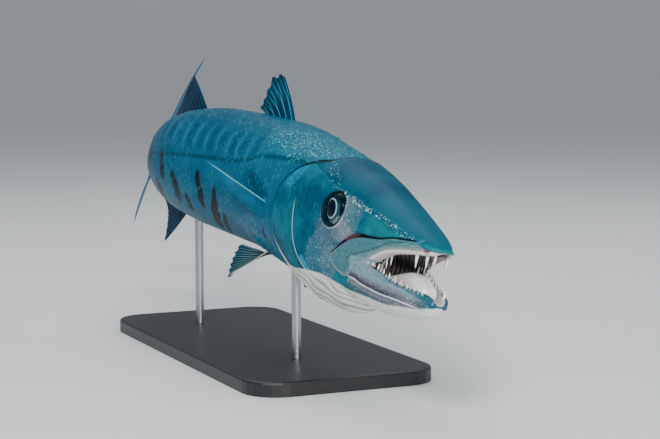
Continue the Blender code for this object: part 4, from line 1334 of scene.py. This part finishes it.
def scale_material():
    g = Graph("scales", ior=1.16, coat_weight=0.03, coat_roughness=0.18)
    _, _, fine, streak, _, colour = markings(g, g.attribute("side_line"))
    u, v, number = g.split(g.attribute("scale", True))
    own = g.noise(g.vector(number * 0.37, number * 0.11, 0.0), 5.0, 1.0)
    # Painted highlight on the raised rear edge of some scales
    colour = g.mix(g.ease(0.45, 0.95, u) * g.ease(0.35, 0.7, own) * 0.45, colour, shade(40, 148, 168))
    # Painted shade at each scale's root, where it slips under the scale in front
    colour = g.mix(g.ease(0.40, 0.05, u) * 0.35, colour, shade(0, 46, 70))
    rays = (v * (9.0 * math.pi)).sine() * u
    normal = g.bump((u * 40.0).sine() * 0.25 + rays * 0.2 + fine, 0.00022, 0.5)
    g.set(
        base_color=colour, roughness=0.30 + fine * 0.14,
        metallic=0.02 + own * 0.05 + glossy(g, fine, streak) * 0.6, normal=normal,
    )
    return g.material


def fin_material(name, membrane, ray, pale=0.5, edge=None):
    g = Graph(name, ior=1.18)
    fish = g.attribute("fish", True)
    t, s, _ = g.split(g.attribute("blade", True))
    fine = g.noise(fish, 160.0, 3.0)
    broad = g.noise(fish, 26.0, 2.0)
    line = ((t - 0.5) * (2 * math.pi)).math("COSINE")
    split = ((t * 2.0 - 0.5) * (2 * math.pi)).math("COSINE")
    apart = g.ease(0.35, 0.75, s)
    mask = g.ease(0.72, 0.99, line) * (1.0 - apart) + g.ease(0.6, 0.97, split) * apart
    colour = g.mix(g.ease(0.3, 0.7, broad), membrane, tuple(c * 0.45 for c in membrane))
    colour = g.mix(mask * (pale + fine * 0.4) * g.ease(1.15, 0.5, s), colour, ray)
    if edge:
        colour = g.mix(g.ease(1.0, 0.25, t) * g.ease(1.0, 0.8, s), colour, edge)
    normal = g.bump(mask * 0.6 + fine * 0.6 + (s * 210.0).sine() * mask * 0.3, 0.0004, 0.5)
    g.set(base_color=colour, roughness=0.40 + fine * 0.16, normal=normal)
    return g.material


def eye_material():
    g = Graph("eye", ior=1.12, coat_weight=0.05, coat_roughness=0.05)
    fish = g.attribute("fish", True)
    x, _, z = g.split(fish)
    dx, dz = x - EYE[0], z - EYE[1]
    away = (dx * dx + dz * dz).math("SQRT")
    fine = g.noise(fish, 420.0, 3.0)
    rays = g.noise(g.vector(dz.math("ARCTAN2", dx) * 3.0, away * 60.0, 0.0), 9.0, 2.0)
    iris = g.mix(g.ease(0.3, 0.7, rays), tint("iris"), shade(40, 88, 102))
    iris = g.mix(g.ease(0.55, 0.70, fine) * g.ease(0.002, -0.010, dz) * 0.6, iris, shade(120, 150, 152))
    iris = g.mix(g.ease(0.004, 0.014, dz), iris, shade(4, 24, 36))
    wide = away - abs(dx) * 0.06
    colour = g.mix(g.ease(0.0014, 0.0005, abs(wide - 0.0106)), iris, shade(150, 176, 182))
    colour = g.mix(g.ease(0.0104, 0.0098, wide), colour, tint("pupil"))
    colour = g.mix(g.ease(0.0150, 0.0168, away) * g.ease(-0.010, -0.002, dz), colour, shade(3, 20, 30))
    low = g.ease(0.0138, 0.0160, away) * g.ease(-0.004, -0.011, dz) * g.ease(0.3, 0.6, fine)
    colour = g.mix(low * 0.7, colour, shade(150, 172, 174))
    colour = g.mix(g.ease(0.0176, 0.0186, away), colour, shade(3, 16, 24))
    normal = g.bump(rays, 0.0003, 0.3)
    g.set(base_color=colour, roughness=0.22 + fine * 0.05, normal=normal)
    return g.material


def tooth_material():
    g = Graph("teeth", roughness=0.22)
    along = g.attribute("along")
    colour = g.mix(g.ease(0.35, -0.05, along), tint("tooth"), shade(206, 184, 172))
    g.set(base_color=colour, coat_weight=0.6, subsurface_weight=0.12, subsurface_scale=0.002)
    return g.material


def tongue_material():
    g = Graph("tongue", roughness=0.3)
    fish = g.attribute("fish", True)
    _, y, _ = g.split(fish)
    fine = g.noise(fish, 240.0, 3.0)
    colour = g.mix(g.ease(0.3, 0.7, fine), tint("tongue"), shade(236, 230, 228))
    colour = g.mix(g.ease(0.010, 0.016, abs(y)) * 0.6, colour, shade(172, 160, 166))
    normal = g.bump(g.cells(fish, 380.0) * 0.5 + fine * 0.6, 0.0005, 0.4)
    g.set(
        base_color=colour, roughness=0.26 + fine * 0.12, normal=normal, coat_weight=0.5,
        subsurface_weight=0.1, subsurface_scale=0.003,
    )
    return g.material


def stand_black():
    g = Graph("stand_black", roughness=0.4)
    here = g.node("ShaderNodeTexCoord", output="Object")
    grain = g.noise(here, 420.0, 3.0)
    colour = g.mix(g.noise(here, 9.0), tint("stand"), shade(34, 35, 38))
    g.set(base_color=colour, roughness=0.34 + grain * 0.14, normal=g.bump(grain, 0.0004, 0.25))
    return g.material


def stand_steel():
    g = Graph("stand_steel", metallic=1.0)
    here = g.node("ShaderNodeTexCoord", output="Object")
    turned = g.noise(g.scaled(here, 8.0, 8.0, 900.0), 3.0, 3.0)
    g.set(
        base_color=g.mix(turned, shade(150, 154, 160), shade(186, 190, 196)),
        roughness=0.22 + turned * 0.14,
    )
    return g.material


# Stage
def build_stage(sizes):
    """Floor, world, lamps and camera."""
    bm = bmesh.new()
    bmesh.ops.create_grid(bm, x_segments=120, y_segments=120, size=20.0)
    mesh = bpy.data.meshes.new("floor")
    bm.to_mesh(mesh)
    bm.free()
    points = read_points(mesh)
    points[:, 2] = 0.06 * np.clip(np.hypot(points[:, 0], points[:, 1]) - 8.0, 0, 20) ** 2
    write_points(mesh, points)
    mesh.shade_smooth()
    floor = mesh_object("floor", mesh)
    g = Graph("floor", roughness=0.7)
    here = g.node("ShaderNodeTexCoord", output="Object")
    g.set(base_color=g.mix(g.noise(here, 3.0), tint("floor"), shade(228, 232, 234)))
    mesh.materials.append(g.material)
    world = bpy.data.worlds.new("studio")
    bpy.context.scene.world = world
    world.use_nodes = True
    world.node_tree.nodes["Background"].inputs["Color"].default_value = (0.82, 0.86, 0.90, 1)
    world.node_tree.nodes["Background"].inputs["Strength"].default_value = 0.42
    for name, at, size, power in (
        ("key", (-1.5, -2.1, 1.9), 0.7, sizes.key_power),
        ("top", (0.2, 0.9, 2.6), 2.4, 42.0),
        ("left", (2.4, -0.6, 1.6), 1.6, 9.0),
        ("front", (-0.2, -2.6, 0.5), 0.9, 26.0),
    ):
        lamp = bpy.data.lights.new(name, "AREA")
        lamp.size = size
        lamp.energy = power
        made = bpy.data.objects.new(name, lamp)
        bpy.context.scene.collection.objects.link(made)
        made.location = at
        made.rotation_euler = (Vector((0, 0, 0.2)) - Vector(at)).to_track_quat("-Z", "Y").to_euler()
    camera = bpy.data.cameras.new("camera")
    camera.lens = sizes.lens
    camera.sensor_width = 36.0
    camera.dof.use_dof = False
    camera.clip_end = 50
    made = bpy.data.objects.new("camera", camera)
    bpy.context.scene.collection.objects.link(made)
    made.location = np.array((-1.5408, 0.8968, 0.1727)) @ AXES * LENGTH + OFFSET
    look = Vector(np.array((0.894, -0.439, -0.090)) @ AXES)
    made.rotation_euler = look.to_track_quat("-Z", "Y").to_euler()
    bpy.context.scene.camera = made


# Settings
def colour_property(name, description, red, green, blue):
    """A colour for the panel, its default as a picture shows it."""
    start = shade(red, green, blue)
    return FloatVectorProperty(
        name=name, description=description, default=start, subtype="COLOR", min=0.0, max=1.0)


class BarracudaSizes(bpy.types.PropertyGroup):
    """Sizes of the pieces, and the camera's lens and main lamp"""

    skin_detail: FloatProperty(
        name="Skin detail", description="Width of the cells that rebuild the skin, over the fish's length",
        default=0.0013, min=0.0010, max=0.0100, precision=4)
    skin_triangles: IntProperty(
        name="Skin triangles", description="Most triangles that the skin keeps",
        default=185000, min=20000, max=195000)
    scale_pitch: FloatProperty(
        name="Scale pitch", description="Widest distance between rows of scales, over the fish's length",
        default=0.0096, min=0.0060, max=0.0300, precision=4)
    scales_across: IntProperty(
        name="Scales round the body", description="Number of scales in one row round the body",
        default=56, min=24, max=90)
    lens: FloatProperty(
        name="Lens", description="Focal length of the camera",
        default=92.7, min=20.0, max=200.0, unit="CAMERA")
    key_power: FloatProperty(
        name="Key light", description="Power of the lamp above the camera",
        default=56.0, min=0.0, unit="POWER")


class BarracudaColours(bpy.types.PropertyGroup):
    """Colours that the finishes start from"""

    back: colour_property("Back", "Dark teal of the back", 1, 78, 112)
    flank: colour_property("Flank", "Teal of the upper flank", 3, 90, 126)
    blotch: colour_property("Blotches", "Ink-dark spots of the lower flank", 0, 12, 22)
    throat: colour_property("Throat", "Pale folds under the head", 226, 228, 216)
    membrane: colour_property("Fin membrane", "Skin between the rays of the rear fins", 0, 54, 82)
    iris: colour_property("Iris", "Dark ring of the eye", 8, 40, 56)
    pupil: colour_property("Pupil", "Middle of the eye", 3, 16, 38)
    tooth: colour_property("Teeth", "Points of the teeth", 250, 248, 242)
    tongue: colour_property("Tongue", "Top of the tongue", 252, 250, 246)
    stand: colour_property("Stand", "Base of the display stand", 22, 23, 25)
    floor: colour_property("Floor", "Floor of the studio", 236, 239, 240)


# Operators
class BARRACUDA_OT_add_skin(bpy.types.Operator):
    """Covers head, jaw, trunk and tail stalk with one skin"""

    bl_idname = "barracuda.add_skin"
    bl_label = "Add skin"

    def execute(self, context):
        sizes = context.scene.barracuda_sizes
        skin = build_skin(sizes.skin_detail, sizes.skin_triangles)
        finish_piece(skin, skin_material(), ("head", "lower_jaw", "trunk", "tail_stalk"))
        return {"FINISHED"}


class BARRACUDA_OT_add_scales(bpy.types.Operator):
    """Lays the scales over both sides of the body"""

    bl_idname = "barracuda.add_scales"
    bl_label = "Add scales"

    def execute(self, context):
        sizes = context.scene.barracuda_sizes
        scales = scale_material()
        for side, name in SIDES:
            coat = make_scales(side, "scales_" + name, sizes.scale_pitch, sizes.scales_across)
            finish_piece(coat, scales)
        return {"FINISHED"}


class BARRACUDA_OT_add_eyes(bpy.types.Operator):
    """Sets both eyes"""

    bl_idname = "barracuda.add_eyes"
    bl_label = "Add eyes"

    def execute(self, context):
        eye = eye_material()
        for side, name in SIDES:
            finish_piece(build_eye(side, "eyeball_" + name), eye, ("eye_" + name,))
        return {"FINISHED"}


class BARRACUDA_OT_add_mouth(bpy.types.Operator):
    """Sets the teeth of both jaws and the tongue"""

    bl_idname = "barracuda.add_mouth"
    bl_label = "Add teeth and tongue"

    def execute(self, context):
        teeth = tooth_material()
        for piece in (upper_teeth(), lower_teeth()):
            write_points(piece.data, place(read_points(piece.data)))
            finish_piece(piece, teeth)
        finish_piece(build_tongue(), tongue_material(), ("tongue",))
        return {"FINISHED"}


class BARRACUDA_OT_add_fins(bpy.types.Operator):
    """Makes all the fins"""

    bl_idname = "barracuda.add_fins"
    bl_label = "Add fins"

    def execute(self, context):
        spiny = fin_material("fin_spiny", shade(0, 66, 100), shade(60, 168, 196), 0.7)
        dark = fin_material("fin_dark", tint("membrane"), shade(14, 92, 126), 0.4)
        tail = fin_material("fin_tail", shade(4, 100, 158), shade(80, 170, 212))
        pale = fin_material("fin_pale", shade(10, 66, 84), shade(138, 172, 172), 0.8, shade(208, 204, 206))
        flank = fin_material("fin_flank", shade(6, 96, 132), shade(60, 156, 184), 0.35, shade(96, 176, 196))
        for fin, finish, node in (
            (first_dorsal(), spiny, "dorsal_fin_first"),
            (second_dorsal(), dark, "dorsal_fin_second"),
            (anal_fin(), dark, "anal_fin"),
            (caudal_lobe("caudal_upper", 1), tail, "caudal_fin_upper"),
            (caudal_lobe("caudal_lower", -1), tail, "caudal_fin_lower"),
        ):
            finish_piece(fin, finish, (node,))
        for side, name in SIDES:
            finish_piece(pectoral("pectoral_" + name, side), flank, ("pectoral_fin_" + name,))
            finish_piece(pelvic("pelvic_" + name, side), pale, ("pelvic_fin_" + name,))
        return {"FINISHED"}


class BARRACUDA_OT_finish_stand(bpy.types.Operator):
    """Gives the display stand its black base and steel rods"""

    bl_idname = "barracuda.finish_stand"
    bl_label = "Finish stand"

    def execute(self, context):
        black, steel = stand_black(), stand_steel()
        for name, finish in (("stand_base", black), ("stand_rod_front", steel), ("stand_rod_rear", steel)):
            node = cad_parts[name]
            node.data.materials.clear()
            node.data.materials.append(finish)
        return {"FINISHED"}


class BARRACUDA_OT_add_stage(bpy.types.Operator):
    """Adds the studio's floor, lamps and camera"""

    bl_idname = "barracuda.add_stage"
    bl_label = "Add stage"

    def execute(self, context):
        build_stage(context.scene.barracuda_sizes)
        return {"FINISHED"}


class BARRACUDA_PT_panel(bpy.types.Panel):
    """Lists the settings and the steps in the order that they are run"""

    bl_idname = "BARRACUDA_PT_panel"
    bl_label = "Barracuda"
    bl_space_type = "VIEW_3D"
    bl_region_type = "UI"
    bl_category = "Barracuda"

    def draw(self, context):
        layout = self.layout
        for group in (context.scene.barracuda_sizes, context.scene.barracuda_colours):
            for name in type(group).__annotations__:
                layout.prop(group, name)
        for step in STEPS:
            layout.operator(step.bl_idname)


STEPS = (
    BARRACUDA_OT_add_skin,
    BARRACUDA_OT_add_scales,
    BARRACUDA_OT_add_eyes,
    BARRACUDA_OT_add_mouth,
    BARRACUDA_OT_add_fins,
    BARRACUDA_OT_finish_stand,
    BARRACUDA_OT_add_stage,
)
CLASSES = (BarracudaSizes, BarracudaColours, *STEPS, BARRACUDA_PT_panel)


def register():
    for kind in CLASSES:
        bpy.utils.register_class(kind)
    bpy.types.Scene.barracuda_sizes = PointerProperty(type=BarracudaSizes)
    bpy.types.Scene.barracuda_colours = PointerProperty(type=BarracudaColours)


def unregister():
    del bpy.types.Scene.barracuda_colours
    del bpy.types.Scene.barracuda_sizes
    for kind in reversed(CLASSES):
        bpy.utils.unregister_class(kind)


def main():
    """Runs every step in order."""
    register()
    bpy.ops.barracuda.add_skin()
    bpy.ops.barracuda.add_scales()
    bpy.ops.barracuda.add_eyes()
    bpy.ops.barracuda.add_mouth()
    bpy.ops.barracuda.add_fins()
    bpy.ops.barracuda.finish_stand()
    bpy.ops.barracuda.add_stage()


if __name__ == "__main__":
    main()
